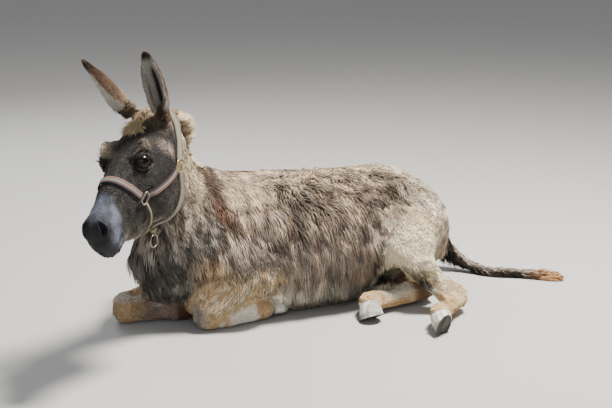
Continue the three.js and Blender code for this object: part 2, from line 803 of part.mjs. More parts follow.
add("tail_switch", aboveGround(tail.intersect(switchSide(0))), COLOURS.tail);

// ---------- the halter ----------

// A strip of webbing over the head, through points in the head's frame.
function strap(points, count, width = STRAP_WIDTH, lift = STRAP_LIFT) {
  const line = new THREE.CatmullRomCurve3(points.map((p) => onSurface(headField, inHead(p), lift)));
  const laid = Array.from({ length: count + 1 }, (_, i) =>
    onSurface(headField, line.getPoint(i / count), lift),
  );
  const w = width / 2;
  return along(laid, (p) => normalAt(headField, p, 3), () => [
    [-w, 0],
    [w, 0],
    [w, STRAP_THICKNESS],
    [-w, STRAP_THICKNESS],
  ])(count);
}
const across = (points) => [...points, ...[...points].reverse().map(([f, l, u]) => [f, -l, u])];
const strapOn = (name, points, count, { width, colour = COLOURS.webbing } = {}) =>
  add(name, main(strap(points, count, width).subtract(headRoom)), colour, 0.85);

// Paths on the left side, in the head's frame. The right side mirrors them.
const SIDE_RING = [285, 74, -111]; // where the noseband, the cheek strap and the chin cord meet
const BUCKLE = [114, 88, -150]; // where the cheek, crown and throat straps meet
const NOSEBAND = [[295, 72, -88], [300, 58, -48], [303, 32, -22], [304, 9, -16]];
const CHEEK = [[260, 76, -116], [215, 84, -128], [170, 88, -139], [136, 88, -147]];
const CROWN = [[84, 84, -130], [46, 78, -108], [6, 66, -76], [-20, 44, -36], [-28, 16, -14]];
const THROAT = [[128, 84, -176], [150, 78, -212], [196, 64, -240], [250, 44, -244], [290, 12, -238]];
const CHIN = [[284, 66, -140], [286, 54, -176], [298, 36, -202], [310, 12, -208]];

strapOn("halter_noseband", across(NOSEBAND), 16);
strapOn("halter_crown", across(CROWN), 14, { width: 20, colour: COLOURS.tape });
strapOn("halter_throat", across(THROAT), 16, { width: 16, colour: COLOURS.tape });
strapOn("halter_chin", across(CHIN), 10, { width: 7, colour: COLOURS.tape });
const mirror = ([f, l, u], s) => [f, s * l, u];
for (const [name, s] of [["left", 1], ["right", -1]]) {
  strapOn(`halter_cheek_${name}`, CHEEK.map((p) => mirror(p, s)), 6);
  for (const [kind, at, size, heading, colour] of [
    ["ring", SIDE_RING, [34, 34, 6], [1, 0, -0.6], COLOURS.webbing],
    ["buckle", BUCKLE, [30, 26, 7], [1, 0, -0.6], COLOURS.metal],
  ]) {
    const where = onSurface(headField, inHead(mirror(at, s)), STRAP_LIFT + size[2] / 2);
    const out = normalAt(headField, where, 4);
    const ahead = turnedHead(heading);
    ahead.addScaledVector(out, -ahead.dot(out)).normalize();
    const basis = new THREE.Matrix4()
      .makeBasis(ahead, new THREE.Vector3().crossVectors(out, ahead), out)
      .setPosition(where);
    const plate = solid(new THREE.BoxGeometry(...size), basis);
    const hole = solid(new THREE.BoxGeometry(size[0] - 12, size[1] - 10, 20), basis);
    const made = kind === "buckle" ? plate.subtract(hole) : plate;
    add(`halter_${kind}_${name}`, made.subtract(headRoom), colour, 0.4, kind === "buckle" ? 0.8 : 0);
  }
}
const knotAt = onSurface(headField, inHead([286, 36, -240]), STRAP_LIFT + STRAP_THICKNESS + 10);
const knot = solid(new THREE.SphereGeometry(8, 7, 5)).translate(knotAt.toArray());
add("halter_knot", knot, COLOURS.tape, 0.9);
const hanging = new THREE.Matrix4()
  .makeRotationZ(0.6)
  .setPosition(knotAt.x, knotAt.y, knotAt.z - 8 - 21);
const turned = hanging.multiply(new THREE.Matrix4().makeRotationX(Math.PI / 2));
add("halter_wire_ring", solid(new THREE.TorusGeometry(18, 1.6, 4, 14), turned), COLOURS.metal, 0.4, 0.8);

export default group;
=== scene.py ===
import math

import bmesh
import bpy
import numpy as np
from mathutils import Matrix, Vector
from mathutils.bvhtree import BVHTree
from mathutils.kdtree import KDTree


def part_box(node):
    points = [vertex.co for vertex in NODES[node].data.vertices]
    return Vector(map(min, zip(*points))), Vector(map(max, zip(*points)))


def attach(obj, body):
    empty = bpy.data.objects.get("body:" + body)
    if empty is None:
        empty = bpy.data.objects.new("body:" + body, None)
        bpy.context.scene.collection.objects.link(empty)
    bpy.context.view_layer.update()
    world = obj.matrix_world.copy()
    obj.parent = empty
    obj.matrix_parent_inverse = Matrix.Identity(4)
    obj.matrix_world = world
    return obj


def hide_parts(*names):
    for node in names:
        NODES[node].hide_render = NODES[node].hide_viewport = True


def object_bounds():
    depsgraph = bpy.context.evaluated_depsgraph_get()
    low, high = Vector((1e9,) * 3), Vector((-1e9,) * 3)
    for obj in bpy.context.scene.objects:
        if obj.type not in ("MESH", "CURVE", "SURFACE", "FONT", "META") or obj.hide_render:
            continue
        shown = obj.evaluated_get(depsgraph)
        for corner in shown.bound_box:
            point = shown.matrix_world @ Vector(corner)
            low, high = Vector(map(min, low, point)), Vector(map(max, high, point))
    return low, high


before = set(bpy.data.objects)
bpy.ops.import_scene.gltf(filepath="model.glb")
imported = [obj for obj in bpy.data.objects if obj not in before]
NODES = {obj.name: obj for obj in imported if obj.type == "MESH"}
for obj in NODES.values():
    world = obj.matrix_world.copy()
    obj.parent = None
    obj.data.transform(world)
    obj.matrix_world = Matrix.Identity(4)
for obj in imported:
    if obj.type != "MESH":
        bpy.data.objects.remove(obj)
cad_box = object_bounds()
rng = np.random.default_rng(7)

# ---------- driving dimensions, in metres ----------
VOXEL = 0.005  # of the skin's first mesh
HOOF_VOXEL = 0.0018
POLL = np.array([-0.644, -0.284, 0.764])
HEAD_TURN = (math.radians(9), math.radians(32), math.radians(224))  # about X, then Y, then Z
EYE = np.array([0.210, 0.057, -0.038])  # in the head's frame, left side
EYE_RADIUS = 0.023
THINNER = 1
COAT_TUFTS = 132000 // THINNER
PIECE_TUFTS = 19000 // THINNER  # in one mesh
MANE_TUFTS = 7000 // THINNER
FORELOCK_TUFTS = 3200 // THINNER
TAIL_TUFTS = 4200 // THINNER
LASHES = 46  # on each eye
BAKE_PATCH = 0.003  # side of a tuft's place on the map for baking
LINE_POINTS = 200  # along the mane and the tail

BOX_LOW = np.array(cad_box[0]) + [0, 0, 0.0004]  # the coat stays inside the solids' own box
BOX_HIGH = np.array(cad_box[1])
HEAD = np.array(Matrix.Rotation(HEAD_TURN[2], 3, "Z") @ Matrix.Rotation(HEAD_TURN[1], 3, "Y")
                @ Matrix.Rotation(HEAD_TURN[0], 3, "X"))


def to_head(p):
    return (p - POLL) @ HEAD


def from_head(q):
    return np.asarray(q) @ HEAD.T + POLL


# ---------- camera, light, floor ----------
camera = bpy.data.objects.new("camera", bpy.data.cameras.new("camera"))
bpy.context.scene.collection.objects.link(camera)
camera.data.sensor_width = 36
camera.data.lens = 69.2
camera.location = (-1.701, -3.488, 1.298)
aim = Vector((0, 0, 0.33)) - camera.location
camera.rotation_euler = aim.to_track_quat("-Z", "Y").to_euler()
bpy.context.scene.camera = camera


def light(name, at, size, power, tint=(1, 1, 1)):
    lamp = bpy.data.lights.new(name, "AREA")
    lamp.shape = "DISK"
    lamp.size = size
    lamp.energy = power
    lamp.color = tint
    o = bpy.data.objects.new(name, lamp)
    o.location = at
    o.rotation_euler = (Vector((-0.1, -0.1, 0.3)) - Vector(at)).to_track_quat("-Z", "Y").to_euler()
    bpy.context.scene.collection.objects.link(o)


light("key", (1.1, -0.8, 4.0), 1.0, 600, (1, 0.96, 0.88))
light("fill", (-2.6, -3.6, 2.0), 3.0, 44, (0.94, 0.97, 1))
light("back", (-0.6, 3.4, 2.6), 2.0, 70)
world = bpy.data.worlds.new("studio")
bpy.context.scene.world = world
world.use_nodes = True
world.node_tree.nodes["Background"].inputs["Color"].default_value = (0.96, 0.96, 1, 1)
world.node_tree.nodes["Background"].inputs["Strength"].default_value = 0.40


# ---------- materials ----------
def material(name, **sockets):
    m = bpy.data.materials.new(name)
    m.use_nodes = True
    shader = m.node_tree.nodes["Principled BSDF"]
    for key, value in sockets.items():
        shader.inputs[key.replace("_", " ")].default_value = value
    return m, m.node_tree, shader


def node(tree, kind, **settings):
    n = tree.nodes.new(kind)
    for key, value in settings.items():
        if key in n.inputs.keys():
            n.inputs[key].default_value = value
        else:
            setattr(n, key, value)
    return n


def grain(tree, scale, detail):
    return node(tree, "ShaderNodeTexNoise", Scale=scale, Detail=detail).outputs["Fac"]


def ramp(tree, source, *stops):
    """The colour that stops of (place, linear colour) give along a source."""
    n = node(tree, "ShaderNodeValToRGB")
    elements = n.color_ramp.elements
    for element, (at, shade) in zip(elements, (stops[0], stops[-1])):
        element.position = at
        element.color = (*shade, 1)
    for at, shade in stops[1:-1]:
        elements.new(at).color = (*shade, 1)
    tree.links.new(source, n.inputs["Fac"])
    return n.outputs["Color"]


def multiplied(tree, shader, a, b, amount=1.0):
    """Gives a shader the colour a times b."""
    n = node(tree, "ShaderNodeMix", data_type="RGBA", blend_type="MULTIPLY", Factor=amount)
    tree.links.new(a, n.inputs["A"])
    tree.links.new(b, n.inputs["B"])
    tree.links.new(n.outputs["Result"], shader.inputs["Base Color"])


def bumped(tree, shader, source, distance):
    bump = node(tree, "ShaderNodeBump", Distance=distance)
    tree.links.new(source, bump.inputs["Height"])
    tree.links.new(bump.outputs["Normal"], shader.inputs["Normal"])


def painted(tree, layer):
    """The colours that a mesh carries at its points."""
    return node(tree, "ShaderNodeVertexColor", layer_name=layer).outputs["Color"]


def attribute(tree, name):
    return node(tree, "ShaderNodeAttribute", attribute_name=name).outputs["Fac"]


def maths(tree, how, *values):
    n = node(tree, "ShaderNodeMath", operation=how)
    for socket, value in zip(n.inputs, values):
        if hasattr(value, "is_linked"):
            tree.links.new(value, socket)
        else:
            socket.default_value = value
    return n.outputs[0]


FLOOR_REACH = 90
FLOOR_DROP = 0.001  # below the lowest points of the animal
m, tree, shader = material("floor", Roughness=0.85)
shade = ramp(tree, grain(tree, 3.0, 4.0), (0.0, (0.42, 0.42, 0.41)), (1.0, (0.47, 0.47, 0.46)))
tree.links.new(shade, shader.inputs["Base Color"])
mesh = bpy.data.meshes.new("floor")
corners = [(x * FLOOR_REACH, y * FLOOR_REACH, 0) for x, y in ((-1, -1), (1, -1), (1, 1), (-1, 1))]
mesh.from_pydata(corners, [], [(0, 1, 2, 3)])
floor = bpy.data.objects.new("floor", mesh)
floor.location.z = -FLOOR_DROP
bpy.context.scene.collection.objects.link(floor)
mesh.materials.append(m)


# ---------- helpers on arrays ----------
def smoothstep(a, b, x):
    t = np.clip((x - a) / (b - a), 0, 1)
    return t * t * (3 - 2 * t)


def bell(x, width):
    """1 at 0, falling off on both sides."""
    return np.exp(-((x / width) ** 2))


def toward(a, b, t):
    return a + (b - a) * t


def unit(v):
    return v / np.maximum(np.linalg.norm(v, axis=-1, keepdims=True), 1e-9)


def noise(p, scale, seed=0):
    """Smooth value noise from 0 to 1 at points p, with cells of that many metres."""
    q = np.asarray(p) / scale
    base = np.floor(q).astype(np.int64)
    f = q - base
    f = f * f * (3 - 2 * f)
    total = 0
    for corner in range(8):
        offset = np.array([corner >> 2 & 1, corner >> 1 & 1, corner & 1])
        c = base + offset
        h = c[:, 0] * 73856093 ^ c[:, 1] * 19349663 ^ c[:, 2] * 83492791 ^ (seed * 2654435761)
        h = (h ^ (h >> 13)) * 1274126177 & 0xFFFFFF
        weight = np.prod(np.where(offset, f, 1 - f), axis=1)
        total = total + weight * (h / 0xFFFFFF)
    return total


def mesh_arrays(me):
    v = np.empty(len(me.vertices) * 3)
    me.vertices.foreach_get("co", v)
    n = np.empty(len(me.vertices) * 3)
    me.vertices.foreach_get("normal", n)
    return v.reshape(-1, 3), n.reshape(-1, 3)


def set_vertices(me, v):
    me.vertices.foreach_set("co", v.astype(np.float32).ravel())
    me.update()


def set_smooth(me):
    me.polygons.foreach_set("use_smooth", np.ones(len(me.polygons), bool))


def set_colours(me, layer, rgb):
    """Gives each point of a mesh its own linear colour."""
    rgba = np.ones((len(me.vertices), 4), np.float32)
    rgba[:, :3] = rgb
    me.color_attributes.new(layer, "FLOAT_COLOR", "POINT").data.foreach_set("color", rgba.ravel())


def new_object(name, me, *materials):
    o = bpy.data.objects.new(name, me)
    bpy.context.scene.collection.objects.link(o)
    for m in materials:
        me.materials.append(m)
    return o


# ---------- the skin ----------
LEG_NAMES = ["fore_left", "fore_right", "hind_left", "hind_right"]
FLESH = ["trunk", "neck", "head", "ear_left", "ear_right", "tail_dock", "tail_switch"]
FLESH += [f"{leg}_{part}" for leg in LEG_NAMES for part in ("upper", "lower")]
OVERLAP = 0.0009  # each solid grows by this much, so that neighbours touch across the cuts


def joined_flesh():
    bm = bmesh.new()
    for name in FLESH:
        o = NODES[name]
        me = o.data.copy()
        me.transform(o.matrix_world)
        part = bmesh.new()
        part.from_mesh(me)
        bmesh.ops.remove_doubles(part, verts=part.verts, dist=1e-5)
        part.normal_update()
        for v in part.verts:
            v.co += v.normal * OVERLAP
        part.to_mesh(me)
        part.free()
        bm.from_mesh(me)
        bpy.data.meshes.remove(me)
    me = bpy.data.meshes.new("skin")
    bm.to_mesh(me)
    bm.free()
    return me


def apply_modifiers(o):
    made = bpy.data.meshes.new_from_object(o.evaluated_get(bpy.context.evaluated_depsgraph_get()))
    old = o.data
    o.modifiers.clear()
    o.data = made
    bpy.data.meshes.remove(old)


def remeshed(o, voxel):
    remesh = o.modifiers.new("remesh", "REMESH")
    remesh.mode = "VOXEL"
    remesh.voxel_size = voxel
    apply_modifiers(o)


skin = new_object("skin", joined_flesh())
remeshed(skin, VOXEL)


# ---------- lines that the hair and the regions follow ----------
def line_of(*points):
    return np.array(points) / 1000


LEG_LINES = {
    "fore_left": line_of((-270, -196, 170), (-330, -190, 122), (-392, -172, 82), (-424, -158, 50),
                         (-308, -164, 38), (-244, -154, 42), (-199, -144, 42)),
    "fore_right": line_of((-365, 100, 115), (-470, 75, 90), (-580, 45, 60), (-635, 25, 48),
                          (-525, -22, 34), (-468, -44, 38), (-434, -53, 38)),
    "hind_left": line_of((282, -215, 225), (258, -246, 204), (284, -290, 148), (325, -330, 94),
                         (378, -358, 52), (340, -395, 46), (292, -435, 44), (229, -500, 52)),
    "hind_right": line_of((180, 10, 85), (165, -45, 72), (225, -115, 60), (290, -185, 54),
                          (332, -224, 48), (290, -236, 42), (200, -250, 38), (92, -290, 44)),
}
TAIL_LINE = line_of((515, 76, 232), (574, 68, 144), (616, 50, 82), (660, 0, 34), (700, -62, 16),
                    (752, -104, 15), (812, -152, 15), (870, -202, 15), (916, -240, 14))
EAR_AXES = {"ear_left": ((32, 58, -24), (-0.05, 0.18, 0.98), (0.8, 0.2, 0.1), 14),
            "ear_right": ((12, -60, -8), (0.28, -0.19, 0.94), (0.5, -0.85, -0.1), -24)}
EAR_LENGTH = 0.228
CREST_LINE = line_of((-606, -268, 700), (-582, -236, 650), (-552, -196, 590), (-520, -154, 528),
                     (-480, -112, 460))
CREST_UP = np.array([0.78, 0.26, 0.66]) / math.hypot(0.78, 0.26, 0.66)


def ear_frame(name):
    """Base point, axis, the way the opening faces and the bend, in the row frame."""
    base, axis, facing, bend = EAR_AXES[name]
    axis = unit(np.array(axis, float))
    facing = np.array(facing, float)
    facing = unit(facing - facing @ axis * axis)
    return from_head(np.array(base) / 1000), axis @ HEAD.T, facing @ HEAD.T, bend / 1000


def ear_line(name):
    base, axis, facing, bend = ear_frame(name)
    return np.array([base + axis * t * EAR_LENGTH + facing * bend * t * t for t in np.linspace(0, 1, 9)])


EAR_LINES = {name: ear_line(name) for name in EAR_AXES}


def near_line(p, line):
    """Distance from each point to a line of points, how far along it as 0 to 1, and its direction."""
    best = np.full(len(p), 1e9)
    place = np.zeros(len(p))
    heading = np.zeros((len(p), 3))
    for i in range(len(line) - 1):
        a, d = line[i], line[i + 1] - line[i]
        t = np.clip(((p - a) @ d) / (d @ d), 0, 1)
        far = np.linalg.norm(p - a - t[:, None] * d, axis=1)
        closer = far < best
        best = np.where(closer, far, best)
        place = np.where(closer, (i + t) / (len(line) - 1), place)
        heading[closer] = unit(d)
    return best, place, heading


class Regions:
    """How much each point belongs to the head, an ear, a leg or the tail, from 0 to 1."""

    def __init__(self, p):
        self.p = p
        self.q = to_head(p)
        f, l, u = self.q.T
        self.legs = {}
        for name, line in LEG_LINES.items():
            far, place, _ = near_line(p, line)
            top = 1 - smoothstep(0.05, 0.25, place)
            reach = 0.085 - 0.03 * smoothstep(0.3, 0.7, place) - 0.035 * top
            self.legs[name] = (1 - smoothstep(reach, reach + 0.025 + 0.055 * top, far), place)
        self.leg = np.max([w for w, _ in self.legs.values()], axis=0)
        self.ears = {}
        for name, line in EAR_LINES.items():
            far, place, _ = near_line(p, line)
            self.ears[name] = ((1 - smoothstep(0.045, 0.06, far)) * smoothstep(0.06, 0.16, place), place)
        self.ear = np.max([w for w, _ in self.ears.values()], axis=0)
        self.head = smoothstep(0.0, 0.06, f * 0.853 + (u + 0.09) * 0.523) * (np.abs(l) < 0.16)
        self.head = self.head * (1 - self.ear) * smoothstep(-0.36, -0.30, u)
        self.tail = smoothstep(0.545, 0.575, p[:, 0])
        self.lower_leg = np.max([w * smoothstep(0.40, 0.50, t) for w, t in self.legs.values()], axis=0)


# ---------- smoothing ----------
def edge_array(me):
    e = np.empty(len(me.edges) * 2, np.int32)
    me.edges.foreach_get("vertices", e)
    return e.reshape(-1, 2)


def smoothed(v, edges, weight, rounds):
    """Rounds off what is small, and keeps the volume."""
    a, b = edges.T
    n = len(v)
    count = np.bincount(np.r_[a, b], minlength=n)[:, None]
    for _ in range(rounds):
        for step in (0.5, -0.53):
            around = [np.bincount(a, v[b, k], n) + np.bincount(b, v[a, k], n) for k in range(3)]
            v = v + step * weight[:, None] * (np.stack(around, 1) / count - v)
    return v


v, n = mesh_arrays(skin.data)
edges = edge_array(skin.data)
where = Regions(v)
calm = 1 - 0.75 * where.head - 0.9 * where.ear - 0.6 * where.lower_leg - 0.5 * where.tail
v = smoothed(v, edges, np.clip(calm, 0.1, 1), 70)
v = smoothed(v, edges, np.where(where.ear > 0.3, 0.5, 0.8), 6)
set_vertices(skin.data, v)


def on_face(q):
    return (q[:, 0] > 0.05) & (np.abs(q[:, 1]) < 0.13) & (q[:, 2] > -0.30) & (q[:, 2] < 0.03)


def by_eyes_or_nose(q):
    eye = np.min([np.linalg.norm(q - EYE * [1, s, 1], axis=1) for s in (1, -1)], axis=0) < 0.042
    return eye | (q[:, 0] > 0.392) & (q[:, 2] > -0.16)


# The head is given a finer net.
bm = bmesh.new()
bm.from_mesh(skin.data)
bm.verts.ensure_lookup_table()
for needs_more in (on_face, by_eyes_or_nose):
    fine = needs_more(to_head(np.array([x.co for x in bm.verts])))
    chosen = [e for e in bm.edges if fine[e.verts[0].index] and fine[e.verts[1].index]]
    bmesh.ops.subdivide_edges(bm, edges=chosen, cuts=1, use_grid_fill=True)
    bm.verts.index_update()
    bm.verts.ensure_lookup_table()
bm.to_mesh(skin.data)
bm.free()
v, n = mesh_arrays(skin.data)
edges = edge_array(skin.data)
where = Regions(v)
v = smoothed(v, edges, np.where(where.head > 0.5, 0.9, 0.0), 4)
set_vertices(skin.data, v)
v, n = mesh_arrays(skin.data)


# ---------- the head's forms ----------
def stroke(q, n, points, width, height):
    """A ridge, or a groove where height is negative, along points given for the left side."""
    amount = 0
    for s in (1, -1):
        line = np.array([(f, s * l, u) for f, l, u in points]) / 1000
        far = near_line(q, line)[0]
        amount = np.maximum(amount, bell(far, width / 1000))
    return q + n * (amount * height / 1000)[:, None]


STROKES = [
    ([(240, 76, -98), (300, 60, -100), (338, 50, -98)], 9, 3.5),  # facial crest
    ([(170, 80, -14), (205, 82, -8), (238, 72, -20)], 9, 4),  # brow
    ([(150, 66, -8), (135, 62, -14)], 15, -5),  # hollow above the eye
    ([(165, 88, -48), (120, 88, -54), (80, 80, -62)], 10, 4),  # cheekbone
    ([(102, 78, -150), (120, 72, -200), (165, 52, -244)], 12, 3),  # jaw's back edge
    ([(262, 64, -120), (264, 52, -160), (256, 44, -200)], 13, -5),  # in front of the cheek
    ([(300, 44, -52), (360, 38, -60), (412, 38, -60)], 9, -3),  # beside the nose bone
    ([(428, 34, -38), (402, 34, -40)], 6, -3.5),  # fold above the nostril
    ([(236, 66, -62), (262, 60, -74), (282, 56, -80)], 5, -2),  # tear groove
    ([(470, 0, -128), (458, 20, -131), (434, 36, -131), (408, 44, -124)], 3.2, -6),  # mouth
    ([(470, 0, -119), (458, 20, -121), (434, 37, -121)], 6, 3),  # upper lip
    ([(462, 0, -139), (450, 20, -141), (428, 34, -140)], 6, 3),  # lower lip
    ([(404, 44, -116), (398, 43, -126), (400, 38, -136)], 4, 2.5),  # mouth's corner
    ([(420, 10, -166), (400, 18, -168)], 9, -3),  # behind the chin
]


def eye_frame(s):
    """The way an eye looks, its long axis towards the nose, and up across it, in the head's frame."""
    out = unit(np.array([0.40, 0.88 * s, 0.24]))
    ahead = np.array([0.70, 0, 0.58])
    ahead = unit(ahead - ahead @ out * out)
    up = np.cross(ahead, out) * s
    return out, ahead, (-up if up[2] < 0 else up)


def eye_place(q, s):
    """Places round an eye: along its axis, up across it, out of it, and 1 at the edge of the lids."""
    out, ahead, up = eye_frame(s)
    rel = q - EYE * [1, s, 1]
    x, y, z = rel @ ahead, rel @ up, rel @ out
    high = np.where(y > 0, 0.0118, 0.0116) * (1 - 0.30 * smoothstep(0, 0.024, -x))
    far = np.hypot(x / 0.0235, y / high)
    return x, y, z, np.where(z > -0.03, far, 9)


def shape_eye(q, s):
    out = eye_frame(s)[0]
    x, y, z, r = eye_place(q, s)
    far = np.hypot(x, y)
    lid = np.sqrt(np.maximum((EYE_RADIUS + 0.0032) ** 2 - far**2, 0))
    inside = np.sqrt(np.maximum(EYE_RADIUS**2 - far**2, 0)) - 0.006
    target = np.where(r < 1, inside, lid - 0.0012 * bell(r - 1.0, 0.10))
    crease = 0.0024 * bell(r - 1.60, 0.12) * np.where(y > 0, 1, 0.6)
    lip = 0.0016 * bell(r - 1.28, 0.15)
    hold = (1 - smoothstep(0.0225, 0.038, far)) * (z > -0.010)
    moved = z + (target - z) * hold - crease * hold + lip * hold
    return q + out * (moved - z)[:, None]


def shape_nostril(q, s):
    centre = np.array([0.447, 0.032 * s, -0.062])
    out = unit(np.array([0.62, 0.78 * s, 0.05]))
    up = unit(np.array([-0.35, 0.12 * s, 0.9]))
    up = unit(up - up @ out * out)
    across = np.cross(up, out)
    rel = q - centre
    x, y, z = rel @ across * s, rel @ up, rel @ out
    bow = x + 0.005 * (y / 0.018) ** 2
    r = np.hypot(bow / 0.0085, y / 0.017)
    near = (z > -0.03) & (z < 0.04)
    pit = -0.017 * (1 - smoothstep(0.55, 1.05, r)) + 0.003 * bell(r - 1.28, 0.25)
    return q + out * (pit * near)[:, None]


q = to_head(v)
nq = n @ HEAD
on_head = where.head[:, None]
shaped = q
for points, width, height in STROKES:
    shaped = stroke(shaped, nq, points, width, height)
for s in (1, -1):
    shaped = shape_nostril(shaped, s)
q = q + (shaped - q) * on_head

# The skin lies inside the solids by the coat's depth.
f, l, u = q.T
depth = np.full(len(v), 0.013)
depth = toward(depth, 0.006, where.leg)
depth = toward(depth, 0.004, where.lower_leg)
face = 0.004 - 0.0032 * smoothstep(0.33, 0.42, f)
depth = toward(depth, face, where.head)
depth = toward(depth, 0.0004, where.ear)
depth = toward(depth, 0.007, where.tail)
depth = depth * smoothstep(-0.9, -0.2, n[:, 2] + 1.2 * smoothstep(0.0, 0.03, v[:, 2]))
q = q - nq * depth[:, None]
for s in (1, -1):
    q = shape_eye(q, s)
v = from_head(q)
v[:, 2] = np.maximum(v[:, 2], 0.0)
set_vertices(skin.data, v)
set_smooth(skin.data)
v, n = mesh_arrays(skin.data)


# ---------- markings ----------
def colour(text):
    """An sRGB hex colour as linear numbers."""
    c = np.array([int(text[i:i + 2], 16) for i in (0, 2, 4)]) / 255
    return np.where(c <= 0.04045, c / 12.92, ((c + 0.055) / 1.055) ** 2.4)


def mix(a, b, t):
    """From a to b as t goes from 0 to 1, where each may be a hex colour."""
    a, b = (colour(c) if isinstance(c, str) else c for c in (a, b))
    return a + (b - a) * np.asarray(np.clip(t, 0, 1))[..., None]


def band(x, low, high, soft):
    return smoothstep(low - soft, low, x) * (1 - smoothstep(high, high + soft, x))


class Tints:
    """The coat's colour near its roots and at its tips."""

    def __init__(self, count, dark, pale):
        self.root = np.tile(colour(dark), (count, 1))
        self.tip = np.tile(colour(pale), (count, 1))

    def paint(self, amount, dark, pale, paler=None, t=None):
        """Towards dark at the roots and towards pale, or what t gives of pale to paler, at the tips."""
        self.root = mix(self.root, dark, amount)
        self.tip = mix(self.tip, pale if paler is None else mix(pale, paler, t), amount)


def blob(q, centre, radii):
    """1 at a centre, falling off over the radii."""
    return np.exp(-np.sum(((q - np.array(centre)) / np.array(radii)) ** 2, axis=1))


def veins(p, scale, seed, width=0.07):
    """Thin winding lines: 1 on a line, 0 away from it."""
    return bell(noise(p, scale, seed) - 0.5, width)


# Painted shade: the crease between the forearm and the body is painted dark along this line.
ELBOW_SHADE_LINE = line_of((-420, -235, 190), (-345, -260, 222), (-262, -262, 205), (-205, -250, 150),
                     (-170, -235, 80))


def flank_hollow(p):
    """The hollow between the belly and the thigh, where shade is painted, 1 in its middle."""
    x, y, z = p.T
    inside = band(x - 0.4 * (z - 0.10), 0.190, 0.285, 0.02) * smoothstep(0.04, 0.0, y)
    inside = inside * (1 - smoothstep(0.150, 0.180, z))
    return inside * smoothstep(0.055, 0.075, z)


def paint_body(tints, p, n, where):
    x, y, z = p.T
    patch = noise(p, 0.10, 1)
    fine = noise(p, 0.02, 3)
    tints.paint(patch, "7d6a5c", "cdb297", "ecdabf", fine)
    # The flank is greyer and darker below, and streaked dark between its locks: partly its hair, partly
    # painted shade.
    streaks = noise(p * [1, 1, 0.28], 0.024, 14)
    low = (1 - smoothstep(0.27, 0.36, z)) * band(x, -0.36, 0.20, 0.06)
    tints.paint(low * 0.75, "5a4f4b", "95877d", "b3a396", fine)
    flank = band(z, 0.12, 0.38, 0.05) * band(x, -0.38, 0.22, 0.06)
    tints.paint(flank * smoothstep(0.55, 0.72, streaks) * 0.75, "3c3230", "7b6c66")
    tints.paint(flank * smoothstep(0.45, 0.25, streaks) * smoothstep(0.18, 0.3, z) * 0.7, "8a776b", "e3d3c4")
    # Matted curls run along the back and over the croup.
    # The back is painted paler: partly its paler coat, partly painted light on its top.
    top = smoothstep(0.36, 0.43, z) * band(x, -0.36, 0.50, 0.05)
    tints.paint(top * 0.85, "8c7663", "d9c1a4", "f4e4ca", patch)
    matted = smoothstep(0.33, 0.42, z) * band(x, -0.10, 0.40, 0.10)
    tints.paint(matted * veins(p * [1, 1, 1.7], 0.085, 15, 0.05) * 0.9, "332824", "57453b")
    tints.paint(matted * veins(p, 0.040, 16, 0.05) * 0.5, "4a3b34", "806a5a")
    spots = smoothstep(0.62, 0.75, noise(p * [1, 1, 0.7], 0.05, 22)) * band(z, 0.30, 0.42, 0.05)
    tints.paint(spots * band(x, -0.16, 0.20, 0.06) * 0.7, "4a3d38", "85736a")
    rump = smoothstep(0.24, 0.34, x) * smoothstep(0.2, 0.3, z)
    tints.paint(rump * 0.85, "a8967f", "dfcdb2", "f7ecd8", fine)
    tints.paint(rump * veins(p * [0.6, 0.6, 1.3], 0.07, 17, 0.05) * 0.5, "5f5048", "94827a")
    belly = (1 - smoothstep(0.09, 0.19, z)) * band(x, -0.20, 0.30, 0.08)
    tints.paint(belly, "d3c6ab", "efe4cb", "fffaf0", fine)
    # The chest and the neck are grey-brown, salted with pale hair, the crest is lightest.
    front = smoothstep(-0.30, -0.42, x) * (1 - where.head)
    salt = smoothstep(0.35, 0.65, noise(p * [1, 1, 0.4], 0.016, 4))
    tints.paint(front, "51453f", "84756a", "f0e2ce", salt)
    mottle = smoothstep(0.5, 0.7, noise(p, 0.035, 23))
    tints.paint(front * mottle * 0.55, "3a302c", "6f6057")
    chest = front * (1 - smoothstep(0.24, 0.36, z - 0.5 * (x + 0.55))) * smoothstep(-0.38, -0.47, x)
    tints.paint(chest * 0.92, "343231", "4c4a49", "7d7976", salt)
    throat = front * smoothstep(0.22, 0.40, z) * smoothstep(-0.52, -0.60, x)
    tints.paint(throat * 0.88, "292727", "454342", "6b6763", salt)
    crest = front * (1 - smoothstep(0.03, 0.11, near_line(p, CREST_LINE)[0]))
    tints.paint(crest, "b89f7f", "f8e8cb")
    tan = blob(p, (-0.42, -0.23, 0.21), (0.060, 0.10, 0.050)) * (y < 0)
    tints.paint(np.clip(tan * 1.3, 0, 1) * 0.8, "856a4e", "c09a70", "ecd0a4", fine)
    behind = blob(p, (-0.29, -0.25, 0.27), (0.055, 0.12, 0.085)) * (y < 0)
    tints.paint(behind * 0.8, "37302f", "6e6360", "a99c96", fine)
    # The dark cross: a stripe down each shoulder and one along the spine.
    run = x + 0.405 - 0.40 * (0.48 - z)
    run = run + 0.016 * (fine - 0.5)
    wide = 0.030 - 0.05 * np.maximum(0.48 - z, 0)
    cross = bell(run, np.maximum(wide, 0.013)) * smoothstep(0.32, 0.36, z) * (1 - where.head)
    spine = bell(y - 0.02, 0.035) * smoothstep(0.36, 0.42, z)
    spine = spine * (band(x, -0.42, -0.22, 0.05) * 0.9 + band(x, -0.22, 0.45, 0.10) * 0.2)
    tints.paint(np.maximum(cross * 0.95, spine), "35221a", "55382a", "7d573f", fine)
    # Painted shade: the hollow in front of the thigh is painted near-black.
    tints.paint(flank_hollow(p), "120e0d", "221c1a")
    # Painted shade in the crease behind the forearm.
    fold = bell(near_line(p, ELBOW_SHADE_LINE)[0], 0.020)
    tints.paint(fold * 0.85, "221c1b", "453b38")


